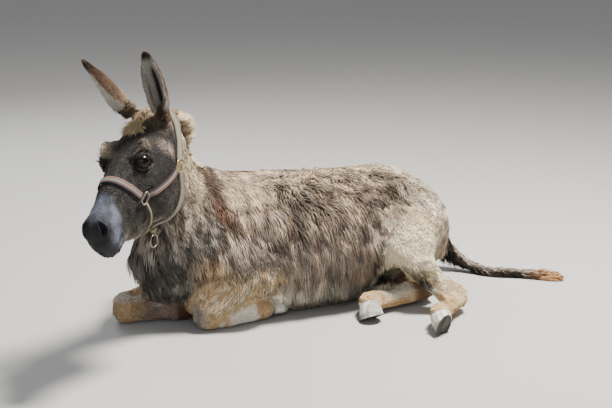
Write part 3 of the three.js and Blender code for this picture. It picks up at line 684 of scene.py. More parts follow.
def paint_legs(tints, p, n, where):
    x, y, z = p.T
    fine = noise(p, 0.014, 3)
    rough = 0.11 * (noise(p, 0.022, 24) - 0.5)
    up = n[:, 2]
    thigh = blob(p, (0.285, -0.24, 0.20), (0.085, 0.12, 0.105)) * (y < 0)
    thigh = thigh * smoothstep(0.16, 0.19, x) * smoothstep(0.335, 0.25, z + 0.05 * (fine - 0.5))
    thigh = np.clip(thigh * 1.6, 0, 1) * smoothstep(0.1, 0.5, thigh + 3 * rough)
    tints.paint(thigh, "e2cf9c", "fbe8b8", "fff6e0", fine)
    seat = blob(p, (0.43, -0.13, 0.17), (0.07, 0.12, 0.09)) * (y < 0.02)
    tints.paint(seat * 0.8, "c9b797", "f0e2c8", "fff8ec", fine)
    lock = blob(p, (0.34, -0.19, 0.285), (0.045, 0.08, 0.022))
    tints.paint(lock * 0.8, "a3805a", "dcb888")
    for name, (weight, place) in where.legs.items():
        place = place + rough
        if name.startswith("hind"):
            cream = weight * (1 - smoothstep(0.38, 0.50, place)) * (1 - flank_hollow(p))
            cream = cream * smoothstep(0.33, 0.26, z + 0.05 * (fine - 0.5))
            tints.paint(cream, "e6d8b0", "faeecb", "fffaf0", fine)
            bars = smoothstep(0.52, 0.66, noise(p * [1, 1, 2.4], 0.020, 6)) * band(place, 0.28, 0.46, 0.05)
            tints.paint(bars * weight * (n[:, 0] < 0.3) * 0.7, "6b6461", "a49c96")
            tan = weight * smoothstep(0.40, 0.50, place)
            tints.paint(tan, "bf9a6c", "e6c594", "fdeac4", fine)
        else:
            # The forearm is painted pale: partly its tan coat, partly painted light on its top.
            low = smoothstep(0.225, 0.175, z)
            pale = mix("dab988", "fff1d4", smoothstep(0.35, 0.65, noise(p, 0.018, 27)))
            tints.paint(weight * band(place, 0.0, 0.40, 0.06) * low * 0.95, "ae916f", pale)
            tints.paint(weight * band(place, 0.40, 0.56, 0.06), "8c6f50", "b4936c", "e8cda2", fine)
        fetlock = weight * band(place, 0.78, 0.93, 0.04)
        tints.paint(fetlock * 0.9, "9c7850", "cba174", "ebcda0", fine)
    weight, place = where.legs["fore_left"]
    place = place + rough
    knee = blob(p, (-0.462, -0.180, 0.050), (0.026, 0.05, 0.042))
    tints.paint(np.clip(knee * 1.5, 0, 1) * weight, "6b615b", "8d827a", "b5aaa0", fine)
    tints.paint(weight * band(place, 0.59, 0.74, 0.05), "cabfae", "e3d8c6", "fffdf8", fine)
    tints.paint(weight * smoothstep(0.92, 0.97, place), "b0a698", "dfd8cc")
    weight, place = where.legs["fore_right"]
    tints.paint(weight * band(place, 0.60, 0.78, 0.06), "6b564b", "8f7a6e", "b5a294", fine)
    # Painted light: paler where the lower leg faces up.
    tints.paint(weight * smoothstep(0.45, 0.8, up) * smoothstep(0.40, 0.5, place), "9d9288", "dcd4ca")
    tints.paint(weight * band(place, 0.80, 0.95, 0.05), "3d2a20", "6b4c39")
    weight, place = where.legs["hind_right"]
    # Painted light: paler where the cannon faces up.
    tints.paint(weight * smoothstep(0.2, 0.6, up) * band(place, 0.70, 0.88, 0.05), "cdbf9f", "fbf4e0")
    tints.paint(weight * band(place, 0.42, 0.70, 0.05), "5f4a38", "96775a")


def paint_tail(tints, p, n, where):
    under = smoothstep(0.80, 0.45, n[:, 2] + 0.1 * noise(p, 0.03, 25))
    tints.paint(where.tail, mix("8a7c70", "120d0b", under), "c2b3a2", "2a201b", under)
    tints.paint(smoothstep(0.79, 0.87, p[:, 0]), "7a4e2c", "e3b07c")


def paint_face(tints, p, n, where):
    q = where.q * 1000
    f, l, u = q.T
    side = np.abs(l)
    s = np.stack([f, side, u], 1)
    face = where.head
    fine = noise(p, 0.010, 18)
    streak = noise(where.q * [0.4, 1, 1], 0.012, 19)
    # The face is painted near-black: partly its dark coat, partly painted shade on the side turned from the
    # light.
    tints.paint(face, mix("171514", "262322", streak), "262322", "4e4a48", fine * 0.5 + streak * 0.5)
    jaw = band(f, 60, 380, 30) * smoothstep(-110, -190, u) * face
    tints.paint(jaw * 0.5, "38332f", "5a5450", "8a8279", streak)
    under = smoothstep(-0.2, -0.7, n @ HEAD[:, 2]) * band(f, 250, 430, 25) * face
    tints.paint(under * 0.7, "8a7f74", "c9bdae")
    temple = blob(s, (118, 86, -58), (16, 20, 22)) + 0.8 * blob(s, (100, 84, -92), (13, 20, 26))
    tints.paint(np.clip(temple * 1.3, 0, 1) * face * 0.85, "8d7b70", "b59e92", "e6d6c6", streak)
    crown = (1 - smoothstep(60, 135, f + 0.5 * side)) * smoothstep(-80, -30, u) * face
    tints.paint(crown * 0.8, "3f342d", "6b594b", "b89f80", streak)
    # The right brow is painted pale: partly pale hair, partly painted light.
    right_brow = blob(q, (200, -74, -14), (22, 24, 16))
    tints.paint(np.clip(right_brow * 1.5, 0, 1) * face, "9a8468", "efe0c2")
    left_brow = blob(q, (168, 74, -6), (26, 20, 16))
    tints.paint(left_brow * 0.45 * face, "5a4c40", "a5917a")
    for k in (1, -1):
        along, up, _, r = eye_place(where.q, k)
        # Near-black round each eye: partly the dark lids, partly painted shade under the lashes and the brow.
        tints.paint((1 - smoothstep(1.35, 1.65, r)) * face, "080606", "0f0c0b")
        below = bell(r - 1.80, 0.20) * smoothstep(0.0, -0.010, up)
        tints.paint(below * smoothstep(0.020, 0.0, along) * face * 0.6, "776e67", "a69c92")
        over = bell(r - 2.1, 0.3) * smoothstep(0.0, 0.008, up)
        tints.paint(over * face * 0.25, "5b524c", "857a70")
    # The muzzle: blue-grey at its sides, dark at its front, round the nostrils and on the lips.
    back = 338 + 0.55 * np.maximum(-u - 10, 0)
    muzzle = smoothstep(-13, 13, f - back + 16 * (fine - 0.5)) * face
    pale = mix("32353c", "565a66", smoothstep(0.25, 0.75, noise(p, 0.020, 8)))
    tints.paint(muzzle, pale, pale * 1.1)
    # Paler on each side of the muzzle: partly pale hair, partly a painted highlight.
    pale_lit_side = muzzle * blob(s, (385, 44, -84), (22, 22, 30))
    tints.paint(pale_lit_side * 0.4, "575b68", "70757f")
    bridge = muzzle * bell(side, 24) * smoothstep(-50, -20, u)
    # Lighter along the nose's ridge: partly pale hair, partly a painted highlight.
    tints.paint(bridge * 0.6, "434857", "6c7486")
    tints.paint(bridge * smoothstep(0.55, 0.7, noise(where.q, 0.016, 26)) * 0.7, "34353f", "454753")
    nose = smoothstep(416, 448, f + 0.10 * (u + 60) + 10 * (fine - 0.5)
                      - 0.5 * np.maximum(side - 30, 0)) * face
    tints.paint(nose * 0.92, "131214", "222124")
    lips = smoothstep(-108, -122, u) * smoothstep(428, 448, f) * face
    tints.paint(lips * 0.85, "1f1d22", "38363d")
    tints.paint(blob(s, (412, 38, -142), (18, 14, 6)) * face * 0.8, "555a69", "747a8c")
    tints.paint(blob(s, (428, 40, -112), (20, 14, 16)) * face * 0.8, "4b5060", "6d7386")
    chin = smoothstep(-140, -150, u) * smoothstep(385, 400, f) * face
    tints.paint(chin * 0.8, "211e20", "38353a")
    from_hole = np.linalg.norm((where.q - np.array([0.447, 0, -0.062])) * [1, 0, 1], axis=1)
    hole = bell(from_hole, 0.026) * (side > 12) * face
    tints.paint(hole * 0.9, "131114", "1c1a1e")
    mouth = 0
    for k in (1, -1):
        line = np.array([(470, 0, -128), (458, 20 * k, -131), (434, 36 * k, -131),
                         (406, 44 * k, -124)]) / 1000
        mouth = np.maximum(mouth, bell(near_line(where.q, line)[0], 0.0050))
    # Near-black inside the nostrils and along the mouth's line: partly dark skin, partly painted shade in
    # these hollows.
    inside = np.maximum(inside_nostril(where.q), mouth * face)
    tints.paint(inside, "050404", "050404")


def paint_ears(tints, p, n, where):
    fine = noise(p, 0.012, 21)
    for name, (weight, place) in where.ears.items():
        opening, rim = ear_opening(name, p, n)
        across, forward = ear_across(name, p)
        outer = mix("5e4636", "33241b", smoothstep(0.55, 0.9, place))
        outer_tip = mix("7b6352", "513a2d", smoothstep(0.45, 0.8, place))
        base = 1 - smoothstep(0.10, 0.45, place)
        outer_tip = mix(outer_tip, mix("8f7764", "dcc4a6", fine), base)
        groove = bell(across - 0.004, 0.0075) * (1 - smoothstep(0.55, 0.85, place))
        inner = mix("7d7973", "1a1412", np.clip(groove * 1.4, 0, 1))
        inner_tip = mix("aca89f", "2c211c", np.clip(groove * 1.3, 0, 1))
        tint = mix(outer, inner, opening)
        tint_tip = mix(outer_tip, inner_tip, opening)
        edge = np.clip(rim * smoothstep(0.15, 0.4, place), 0, 1)
        tint = mix(tint, "35241b", edge * 0.9)
        tint_tip = mix(tint_tip, "6b4936", edge * 0.85)
        if name == "ear_right":  # the hair of its hollow shows beyond the rim
            fringe = smoothstep(-0.007, 0.0, forward) * (1 - smoothstep(0.72, 0.9, place))
            tint = mix(tint, "a39d92", fringe)
            tint_tip = mix(tint_tip, "d3cdc0", fringe)
        end = smoothstep(0.80, 0.92, place) * (1 - edge * 0.6)
        border = end * smoothstep(0.93, 0.99, place)
        tint = mix(tint, "1d130e", end)
        tint_tip = mix(mix(tint_tip, "261a13", end), "6b4834", border)
        tints.paint(weight, tint, tint_tip)


def markings(p, n):
    """The coat's colour near its roots and at its tips, at points p with outward directions n."""
    where = Regions(p)
    tints = Tints(len(p), "4a3d37", "a08873")
    for paint in (paint_body, paint_legs, paint_tail, paint_face, paint_ears):
        paint(tints, p, n, where)
    return tints.root, tints.tip


def inside_nostril(q):
    total = 0
    for s in (1, -1):
        rel = q - np.array([0.440, 0.026 * s, -0.062])
        total = np.maximum(total, bell(np.linalg.norm(rel / [1, 1, 1.6], axis=1), 0.0085))
    return total


def ear_opening(name, p, n):
    """How far a point is in an ear's hollow, and how near its rim, from 0 to 1."""
    place = near_line(p, EAR_LINES[name])[1]
    a, b = ear_across(name, p)
    inner = smoothstep(0.0, 0.45, np.sum(n * ear_frame(name)[2], axis=1))
    rim = bell(b - 0.004 * (1 - place), 0.009) * smoothstep(0.012, 0.026, np.abs(a))
    return inner, rim * (1 - inner * 0.5)


def ear_across(name, p):
    """How far a point is from the ear's middle, across it and towards its opening."""
    base, axis, facing, bend = ear_frame(name)
    place = near_line(p, EAR_LINES[name])[1]
    rel = p - base - np.outer(place * EAR_LENGTH, axis) - np.outer(bend * place * place, facing)
    return rel @ np.cross(axis, facing), rel @ facing


# ---------- the lie of the coat ----------
def lie_lines():
    both = []
    for s in (-1, 1):
        both += [
            line_of((-400, 150 * s, 400), (-350, 200 * s, 240), (-320, 200 * s, 90)),
            line_of((-300, 150 * s, 440), (-240, 220 * s, 300), (-200, 240 * s, 150), (-180, 190 * s, 40)),
            line_of((-160, 140 * s, 450), (-90, 225 * s, 330), (-50, 245 * s, 180), (-30, 200 * s, 40)),
            line_of((0, 140 * s, 450), (70, 225 * s, 320), (100, 240 * s, 180), (110, 180 * s, 40)),
            line_of((140, 130 * s, 440), (200, 200 * s, 330), (225, 210 * s, 200), (230, 160 * s, 60)),
            line_of((300, 100 * s + 20, 430), (350, 170 * s + 20, 330), (340, 200 * s, 230)),
            line_of((430, 100 * s + 40, 340), (480, 120 * s + 40, 220), (450, 120 * s + 40, 80)),
        ]
    both += [
        line_of((-480, -110, 470), (-350, -20, 490), (0, 0, 460), (300, 30, 440), (440, 45, 350),
                (530, 60, 200)),
        line_of((-300, 0, 0), (200, 0, 0)),
        line_of((-640, -120, 420), (-600, -90, 250), (-560, -70, 120)),
        line_of((-600, -210, 560), (-570, -230, 420), (-500, -200, 300)),
        line_of((-560, -300, 640), (-500, -230, 480), (-430, -190, 380)),
        line_of((-620, -170, 640), (-540, -60, 480), (-470, 60, 380)),
    ]
    head = []
    for s in (1, -1):
        head += [
            line_of((80, 70 * s, -80), (180, 84 * s, -90), (300, 60 * s, -110), (440, 40 * s, -110)),
            line_of((60, 60 * s, -150), (110, 70 * s, -210), (170, 50 * s, -260)),
            line_of((150, 80 * s, -130), (220, 70 * s, -190)),
            line_of((240, 78 * s, -20), (200, 86 * s, -5), (160, 84 * s, -20), (120, 80 * s, -60)),
        ]
    head += [line_of((150, 0, 0), (300, 0, -14), (460, 0, -60)),
             line_of((120, 0, 0), (40, 0, 0), (0, 0, -20))]
    return (both + [from_head(h) for h in head] + list(LEG_LINES.values()) + [TAIL_LINE]
            + list(EAR_LINES.values()))


def lie_of_coat(p, n):
    total = np.zeros_like(p)
    for line in lie_lines():
        far, _, heading = near_line(p, line)
        total += heading * (1 / (far + 0.015) ** 4)[:, None]
    total = unit(total)
    return unit(total - n * np.sum(total * n, axis=1)[:, None])


# ---------- tufts ----------
def sample(me, count, density):
    """Points spread over a mesh, with their normals. density gives how thickly at face centres."""
    me.calc_loop_triangles()
    tris = np.empty(len(me.loop_triangles) * 3, np.int32)
    me.loop_triangles.foreach_get("vertices", tris)
    tris = tris.reshape(-1, 3)
    v, n = mesh_arrays(me)
    a, b, c = v[tris[:, 0]], v[tris[:, 1]], v[tris[:, 2]]
    area = np.linalg.norm(np.cross(b - a, c - a), axis=1) / 2
    weight = area * density((a + b + c) / 3, unit(n[tris].sum(axis=1)))
    chosen = np.sort(rng.choice(len(tris), count, p=weight / weight.sum()))
    w = rng.dirichlet((1, 1, 1), count)
    points = np.einsum("ij,ijk->ik", w, v[tris[chosen]])
    return points, unit(np.einsum("ij,ijk->ik", w, n[tris[chosen]]))


def tuft_mesh(name, root, normal, start, end, length, width, thick, root_colour, tip_colour, uv):
    """Joined tufts: each a closed spike from its root, along start and then bending to end."""
    n = len(root)
    along = unit(start)
    side = unit(np.cross(normal, along))
    over = unit(np.cross(along, side))
    L, W, T = length[:, None], width[:, None] / 2, thick[:, None]
    foot = root - normal * 0.0015
    middle = root + along * L * 0.45
    tip = middle + unit(end) * L * 0.55
    ring = [foot - side * W * 0.8, foot + side * W * 0.8, foot + over * T,
            middle - side * W, middle + side * W, middle + over * T, tip]
    v = np.clip(np.stack(ring, 1), BOX_LOW, BOX_HIGH)
    faces = np.array([(0, 1, 2), (0, 3, 4), (0, 4, 1), (1, 4, 5), (1, 5, 2), (2, 5, 3), (2, 3, 0),
                      (3, 6, 4), (4, 6, 5), (5, 6, 3)])
    index = (faces[None] + len(ring) * np.arange(n)[:, None, None]).reshape(-1)
    me = bpy.data.meshes.new(name)
    me.vertices.add(len(ring) * n)
    me.vertices.foreach_set("co", v.astype(np.float32).ravel())
    me.loops.add(len(index))
    me.loops.foreach_set("vertex_index", index.astype(np.int32))
    me.polygons.add(len(index) // 3)
    me.polygons.foreach_set("loop_start", np.arange(0, len(index), 3, dtype=np.int32))
    set_smooth(me)
    me.update(calc_edges=True)
    shade = [root_colour * 0.8, root_colour * 0.8, root_colour,
             mix(root_colour, tip_colour, 0.35), mix(root_colour, tip_colour, 0.45),
             mix(root_colour, tip_colour, 0.75), tip_colour]
    set_colours(me, "coat", np.stack(shade, 1).reshape(-1, 3))
    patch = np.array([(0, 0), (1, 0), (0.5, 0.1), (0, 0.5), (1, 0.5), (0.5, 0.6), (0.5, 1)])
    patch = patch * BAKE_PATCH - BAKE_PATCH / 2
    corner = (uv[:, None, :] + patch[None]).reshape(-1, 2)
    layer = me.uv_layers.new(name="OFBake")
    layer.data.foreach_set("uv", np.clip(corner[index], 0, 1).astype(np.float32).ravel())
    return me


def clumped(root, ends, length, spacing, pull):
    """Tips drawn together in locks: each tuft leans to the tip of its nearest lock."""
    chosen = rng.permutation(len(root))[: max(8, int(len(root) * spacing))]
    tree = KDTree(len(chosen))
    for i, k in enumerate(chosen):
        tree.insert(root[k], i)
    tree.balance()
    nearest = chosen[np.array([tree.find(p)[1] for p in root])]
    target = root[nearest] + ends[nearest] * length[nearest, None] * 1.05
    own = root + ends * length[:, None]
    apart = np.linalg.norm(root - root[nearest], axis=1)
    return unit(own + (target - own) * pull[:, None] - root), nearest, apart


# ---------- materials of the animal ----------
def coat_material(name, strands):
    """Takes its colour from the markings, with fine strands of light and dark."""
    m, tree, shader = material(name, Roughness=0.72, Specular_IOR_Level=0.25)
    place = node(tree, "ShaderNodeTexCoord")
    fine = node(tree, "ShaderNodeTexNoise", Scale=strands, Detail=3.0, Roughness=0.6)
    tree.links.new(place.outputs["Object"], fine.inputs["Vector"])
    level = node(tree, "ShaderNodeMapRange")
    for socket, value in (("From Min", 0.3), ("From Max", 0.7), ("To Min", 0.72), ("To Max", 1.28)):
        level.inputs[socket].default_value = value
    tree.links.new(fine.outputs["Fac"], level.inputs["Value"])
    multiplied(tree, shader, painted(tree, "coat"), level.outputs["Result"])
    bumped(tree, shader, fine.outputs["Fac"], 0.0012)
    return m


SKIN = coat_material("skin_coat", 420.0)
TUFT = coat_material("tufts", 900.0)
skin.data.materials.clear()
skin.data.materials.append(SKIN)
root_tint, tip_tint = markings(v, n)
lower = Regions(v)
bare = np.maximum(np.maximum(lower.head, lower.ear), lower.lower_leg * 0.7)
tint = mix(root_tint * 0.9, mix(root_tint, tip_tint, 0.45), bare)
set_colours(skin.data, "coat", tint)
skin.data.calc_loop_triangles()
triangles = [tuple(t.vertices) for t in skin.data.loop_triangles]
skin_tree = BVHTree.FromPolygons([tuple(x) for x in v], triangles)


def on_skin(p):
    """The nearest places on the skin, and the directions out of it there."""
    found = [skin_tree.find_nearest(tuple(x)) for x in p]
    return np.array([f[0] for f in found]), np.array([f[1] for f in found])


# ---------- the halter ----------
def curve_through(points, count):
    """A smooth line through points, evenly sampled."""
    p = np.array(points, float)
    q = np.vstack([2 * p[0] - p[1], p, 2 * p[-1] - p[-2]])
    out = []
    for i in range(len(q) - 3):
        a, b, c, d = q[i:i + 4]
        for t in np.linspace(0, 1, 16, endpoint=False):
            out.append(0.5 * (2 * b + (c - a) * t + (2 * a - 5 * b + 4 * c - d) * t**2
                              + (3 * b - a - 3 * c + d) * t**3))
    out.append(p[-1])
    out = np.array(out)
    step = np.linalg.norm(np.diff(out, axis=0), axis=1)
    place = np.r_[0, np.cumsum(step)]
    return np.stack([np.interp(np.linspace(0, place[-1], count), place, out[:, k]) for k in range(3)], 1)


def swept(name, line, up, profile, mat, closed=False, replaces=()):
    """A profile of (across, above) pairs carried along a line."""
    along = np.gradient(line, axis=0)
    if closed:
        along = np.roll(line, -1, 0) - np.roll(line, 1, 0)
    along = unit(along)
    up = unit(up - along * np.sum(up * along, axis=1)[:, None])
    across = np.cross(along, up)
    a, b = np.array(profile).T
    rings = line[:, None] + across[:, None] * a[:, None] + up[:, None] * b[:, None]
    k, m = len(line), len(a)
    faces = []
    for i in range(k if closed else k - 1):
        j = (i + 1) % k
        faces += [(i * m + c, i * m + (c + 1) % m, j * m + (c + 1) % m, j * m + c) for c in range(m)]
    if not closed:
        faces += [tuple(range(m))[::-1], tuple((k - 1) * m + c for c in range(m))]
    me = bpy.data.meshes.new(name)
    me.from_pydata(rings.reshape(-1, 3).tolist(), [], faces)
    set_smooth(me)
    run = np.r_[0, np.cumsum(np.linalg.norm(np.diff(line, axis=0), axis=1))]
    for key, values in (("across", np.tile(a / np.abs(a).max(), k)), ("run", np.repeat(run, m))):
        me.attributes.new(key, "FLOAT", "POINT").data.foreach_set("value", values.astype(np.float32))
    o = new_object(name, me, mat)
    bm = bmesh.new()
    bm.from_mesh(me)
    bmesh.ops.recalc_face_normals(bm, faces=bm.faces)
    bm.to_mesh(me)
    bm.free()
    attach(o, "root")
    if replaces:
        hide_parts(*replaces)


def weave_material(name, stops, ribs):
    """Woven strap: stripes along it from stops of (place from one edge to the other, colour)."""
    m, tree, shader = material(name, Roughness=0.8, Specular_IOR_Level=0.3)
    across, run = attribute(tree, "across"), attribute(tree, "run")
    stripes = ramp(tree, maths(tree, "MULTIPLY_ADD", across, 0.5, 0.5), *[(at, colour(c)) for at, c in stops])
    rib = maths(tree, "SINE", maths(tree, "MULTIPLY", run, 2 * math.pi / ribs))
    cross = maths(tree, "SINE", maths(tree, "MULTIPLY", across, 34.0))
    weave = maths(tree, "MULTIPLY_ADD", maths(tree, "MULTIPLY", rib, cross), 0.5, 0.5)
    dirt = maths(tree, "MULTIPLY_ADD", grain(tree, 90.0, 4.0), 0.5, 0.55)
    multiplied(tree, shader, stripes, maths(tree, "MULTIPLY_ADD", weave, 0.35, dirt))
    bumped(tree, shader, weave, 0.0006)
    return m


WEBBING = weave_material("webbing", [(0.0, "14151a"), (0.20, "1a1a20"), (0.23, "453b37"), (0.29, "52463f"),
                                     (0.32, "7b4333"), (0.38, "7b4333"), (0.41, "5a5450"), (0.50, "625c59"),
                                     (0.53, "8398a4"), (0.60, "8398a4"), (0.63, "33333b"), (0.67, "625c59"),
                                     (0.80, "665f59"), (0.83, "92523c"), (0.90, "92523c"), (0.93, "655c50"),
                                     (1.0, "655c50")], 0.0032)
TAPE = weave_material("tape", [(0.0, "544f45"), (0.2, "766f63"), (0.5, "8b8378"), (0.8, "766f63"),
                               (1.0, "544f45")], 0.0026)
CORD = weave_material("cord", [(0.0, "6d6850"), (0.5, "b0a98c"), (1.0, "6d6850")], 0.004)


def metal_material(name, shade, rough):
    m, tree, shader = material(name, Metallic=1.0)
    scratch = grain(tree, 160.0, 5.0)
    tint = ramp(tree, scratch, (0.35, colour(shade) * 0.55), (0.6, colour(shade)))
    tree.links.new(tint, shader.inputs["Base Color"])
    tree.links.new(maths(tree, "MULTIPLY_ADD", scratch, 0.3, rough), shader.inputs["Roughness"])
    return m


BRASS = metal_material("brass", "d8c08a", 0.2)
WIRE = metal_material("wire", "a59c8c", 0.25)

STRAP = 0.024  # width of the webbing
SIDE_RING = (285, 74, -111)
BUCKLE = (114, 88, -150)


def strap_profile(width, thick, points=13):
    """A strap's section: flat beneath, crowned above, with rounded edges."""
    a = np.linspace(-1, 1, points)
    top = [(x * width / 2, thick * (0.55 + 0.45 * math.sqrt(1 - abs(x) ** 4))) for x in a]
    return top + [(width / 2 * 0.96, 0.0), (-width / 2 * 0.96, 0.0)]


def laid(points, count, lift):
    """A line through points of the head's frame, laid on the skin, with the directions out of it."""
    line = curve_through(from_head(np.array(points) / 1000), count)
    for _ in range(2):
        at, out = on_skin(line)
        for _ in range(6):
            out[1:-1] = (out[:-2] + out[1:-1] + out[2:]) / 3
        line = at + unit(out) * lift
        for _ in range(4):
            line[1:-1] = (line[:-2] + 2 * line[1:-1] + line[2:]) / 4
    return line, unit(out)


def bar(name, points, out, profile, mat):
    line = curve_through(points, 12)
    swept(name, line, np.tile(out, (len(line), 1)), profile, mat)


def mirrored(points):
    """Points of the left side, and their images on the right in reverse."""
    return points + [(f, -l, u) for f, l, u in reversed(points)]


PATHS = {
    "halter_noseband": (mirrored([(293, 73, -92), (300, 58, -48), (303, 32, -22), (304, 9, -16)]),
                        STRAP, 90),
    "halter_crown": (mirrored([(100, 87, -140), (84, 84, -128), (46, 78, -108), (6, 66, -76),
                               (-20, 44, -36), (-28, 16, -14)]), 0.023, 110),
    "halter_throat": (mirrored([(120, 86, -162), (128, 84, -176), (150, 78, -212), (196, 64, -240),
                                (250, 44, -244), (290, 12, -238)]), 0.018, 90),
    "halter_cheek_left": ([(272, 75, -113), (215, 84, -128), (170, 88, -139), (124, 88, -148)],
                          STRAP, 44),
    "halter_cheek_right": ([(272, -75, -113), (215, -84, -128), (170, -88, -139), (124, -88, -148)],
                           STRAP, 44),
    "halter_chin": (mirrored([(286, 68, -128), (286, 54, -176), (298, 36, -202), (310, 12, -208)]),
                    0.007, 70),
}
strap_lines = {}
for name, (points, width, count) in PATHS.items():
    loose = name in ("halter_crown", "halter_throat")
    line, out = laid(points, count, 0.009 if loose else 0.0035)
    if loose:
        tilt = np.array([[0.5, 0.0, 0.35]]) @ HEAD.T
        out = unit(out + tilt)
    strap_lines[name] = (line, width)
    mat = WEBBING if "cheek" in name or "nose" in name else CORD if "chin" in name else TAPE
    thick = 0.0055 if "chin" in name else 0.0026
    swept(name, line, out, strap_profile(width, thick), mat, replaces=(name,))


def rod(radius, count=10):
    turns = np.linspace(0, 2 * math.pi, count, endpoint=False)
    return [(radius * math.cos(a), radius * math.sin(a)) for a in turns]


def loop(name, centre, ahead, out, size, radius, mat, replaces=(), square=4.0):
    """A closed wire loop with rounded corners."""
    side = np.cross(out, ahead)
    a = np.linspace(0, 2 * math.pi, 48, endpoint=False)
    c, s = np.cos(a), np.sin(a)
    x = np.sign(c) * np.abs(c) ** (2 / square) * size[0] / 2
    y = np.sign(s) * np.abs(s) ** (2 / square) * size[1] / 2
    line = centre + np.outer(x, ahead) + np.outer(y, side)
    swept(name, line, np.tile(out, (len(line), 1)), rod(radius), mat, True, replaces)


def plate_frame(at, heading, lift):
    """A place on the skin with the directions ahead and out of it."""
    where, out = on_skin([from_head(np.array(at) / 1000)])
    ahead = np.array(heading, float) @ HEAD.T
    out = unit(out[0])
    ahead = unit(ahead - ahead @ out * out)
    return where[0] + out * lift, ahead, out


for side_name, s in (("left", 1), ("right", -1)):
    centre, ahead, out = plate_frame((SIDE_RING[0], SIDE_RING[1] * s, SIDE_RING[2]), (1, 0, -0.35), 0.008)
    loop(f"halter_ring_{side_name}", centre, ahead, out, (0.033, 0.031), 0.0024, WIRE,
         (f"halter_ring_{side_name}",), 5.0)
    centre, ahead, out = plate_frame((BUCKLE[0], BUCKLE[1] * s, BUCKLE[2]), (1, 0, -0.5), 0.008)
    loop(f"halter_buckle_{side_name}", centre, ahead, out, (0.030, 0.030), 0.0026, BRASS,
         (f"halter_buckle_{side_name}",), 6.0)
    prong = np.array([centre - ahead * 0.014 + out * 0.002, centre + out * 0.004,
                      centre + ahead * 0.016 + out * 0.003])
    bar(f"buckle_prong_{side_name}", prong, out, rod(0.0016), BRASS)
    lug = np.array([centre - ahead * 0.020, centre, centre + ahead * 0.022]) - out * 0.002
    bar(f"strap_end_{side_name}", lug, out, strap_profile(0.022, 0.003), WEBBING)
low, high = (np.array(c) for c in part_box("halter_knot"))
knot_at = (low + high) / 2
a = np.linspace(0, 2 * math.pi, 73)[:-1]
trefoil = np.stack([np.sin(a) + 2 * np.sin(2 * a), np.sin(3 * a) * 0.9, np.cos(a) - 2 * np.cos(2 * a)], 1)
swept("halter_knot", knot_at + trefoil * 0.0026, trefoil + [0, 1.5, 0.2], rod(0.0030, 8), CORD,
      True, ("halter_knot",))
low, high = (np.array(c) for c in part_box("halter_wire_ring"))
facing = unit(np.array([high[1] - low[1], -(high[0] - low[0]), 0.0]))
loop("halter_wire_ring", (low + high) / 2, np.array([0, 0, 1.0]), facing, (0.036, 0.034), 0.0016,
     WIRE, ("halter_wire_ring",), 2.2)

# ---------- eyes ----------
EYE_MATERIAL, tree, shader = material("eye", Roughness=0.08, Specular_IOR_Level=0.22)
streak = node(tree, "ShaderNodeTexNoise", Scale=500.0, Detail=2.0).outputs["Color"]
multiplied(tree, shader, painted(tree, "iris"), streak, 0.6)
LASH = material("lashes", Base_Color=(*colour("120d0b"), 1), Roughness=0.6)[0]


def lashes(name, s):
    """A row of thin curved hairs along the upper lid."""
    out, ahead, up = eye_frame(s)
    place = np.linspace(-0.9, 0.75, LASHES) + rng.uniform(-0.01, 0.01, LASHES)
    x = place * 0.0222
    y = 0.0116 * np.sqrt(1 - place**2) * (1 - 0.30 * smoothstep(0, 1, -place)) + 0.0004
    z = np.sqrt(np.maximum((EYE_RADIUS + 0.0034) ** 2 - x**2 - y**2, 0))
    root = EYE * [1, s, 1] + np.outer(x, ahead) + np.outer(y, up) + np.outer(z, out)
    fan = np.outer(place * 0.5, ahead) + rng.normal(size=(LASHES, 3)) * 0.08
    start = unit(out * 0.9 + fan - up * 0.25)
    end = unit(out * 0.5 + fan + up * 0.45)
    dark = np.tile(colour("120d0b"), (LASHES, 1))
    face = unit(up + out)[None].repeat(LASHES, 0)
    me = tuft_mesh(name, from_head(root), face @ HEAD.T, start @ HEAD.T, end @ HEAD.T,
                   rng.uniform(0.010, 0.015, LASHES), np.full(LASHES, 0.0009), np.full(LASHES, 0.0004),
                   dark, dark, np.full((LASHES, 2), 0.01))
    o = new_object(name, me, LASH)
    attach(o, "root")


for name, s in (("eye_left", 1), ("eye_right", -1)):
    bm = bmesh.new()
    bmesh.ops.create_uvsphere(bm, u_segments=48, v_segments=32, radius=EYE_RADIUS)
    me = bpy.data.meshes.new(name)
    bm.to_mesh(me)
    bm.free()
    p, _ = mesh_arrays(me)
    out, ahead, up = eye_frame(s)
    x, y, z = p @ ahead, p @ up, p @ out
    far = np.hypot(x, y)
    bulge = 0.0012 * (1 - smoothstep(0.008, 0.016, far)) * (z > 0)
    tint = mix("3a2b24", "150d09", (1 - smoothstep(0.0160, 0.0180, far)) * (z > 0))
    tint = mix(tint, "23150d", bell(far - 0.0115, 0.003) * (z > 0) * 0.8)
    pupil = np.hypot(x / 0.0090, y / 0.0055)
    tint = mix(tint, "030303", (1 - smoothstep(0.9, 1.1, pupil)) * (z > 0))
    set_colours(me, "iris", tint)
    set_vertices(me, from_head(EYE * [1, s, 1] + p + out * bulge[:, None]))
    set_smooth(me)
    o = new_object(name, me, EYE_MATERIAL)
    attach(o, "root")
    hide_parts(name)
    lashes(f"lashes_{name[4:]}", s)

# ---------- hooves ----------
HOOF_MATERIAL, tree, shader = material("hoof", Roughness=0.55)
fine = grain(tree, 140.0, 5.0)
multiplied(tree, shader, painted(tree, "horn"), maths(tree, "MULTIPLY_ADD", fine, 0.7, 0.62))
bumped(tree, shader, fine, 0.0008)
HOOVES = {  # the coronet's centre, and the toe and the heel of the sole
    "fore_left": line_of((-199, -144, 42), (-146, -134, 10), (-171, -137, 66)),
    "fore_right": line_of((-434, -53, 38), (-385, -62, 10), (-410, -60, 62)),
    "hind_left": line_of((229, -500, 52), (194, -542, 8), (250, -530, 50)),
    "hind_right": line_of((92, -290, 44), (52, -346, 22), (104, -304, 2)),
}


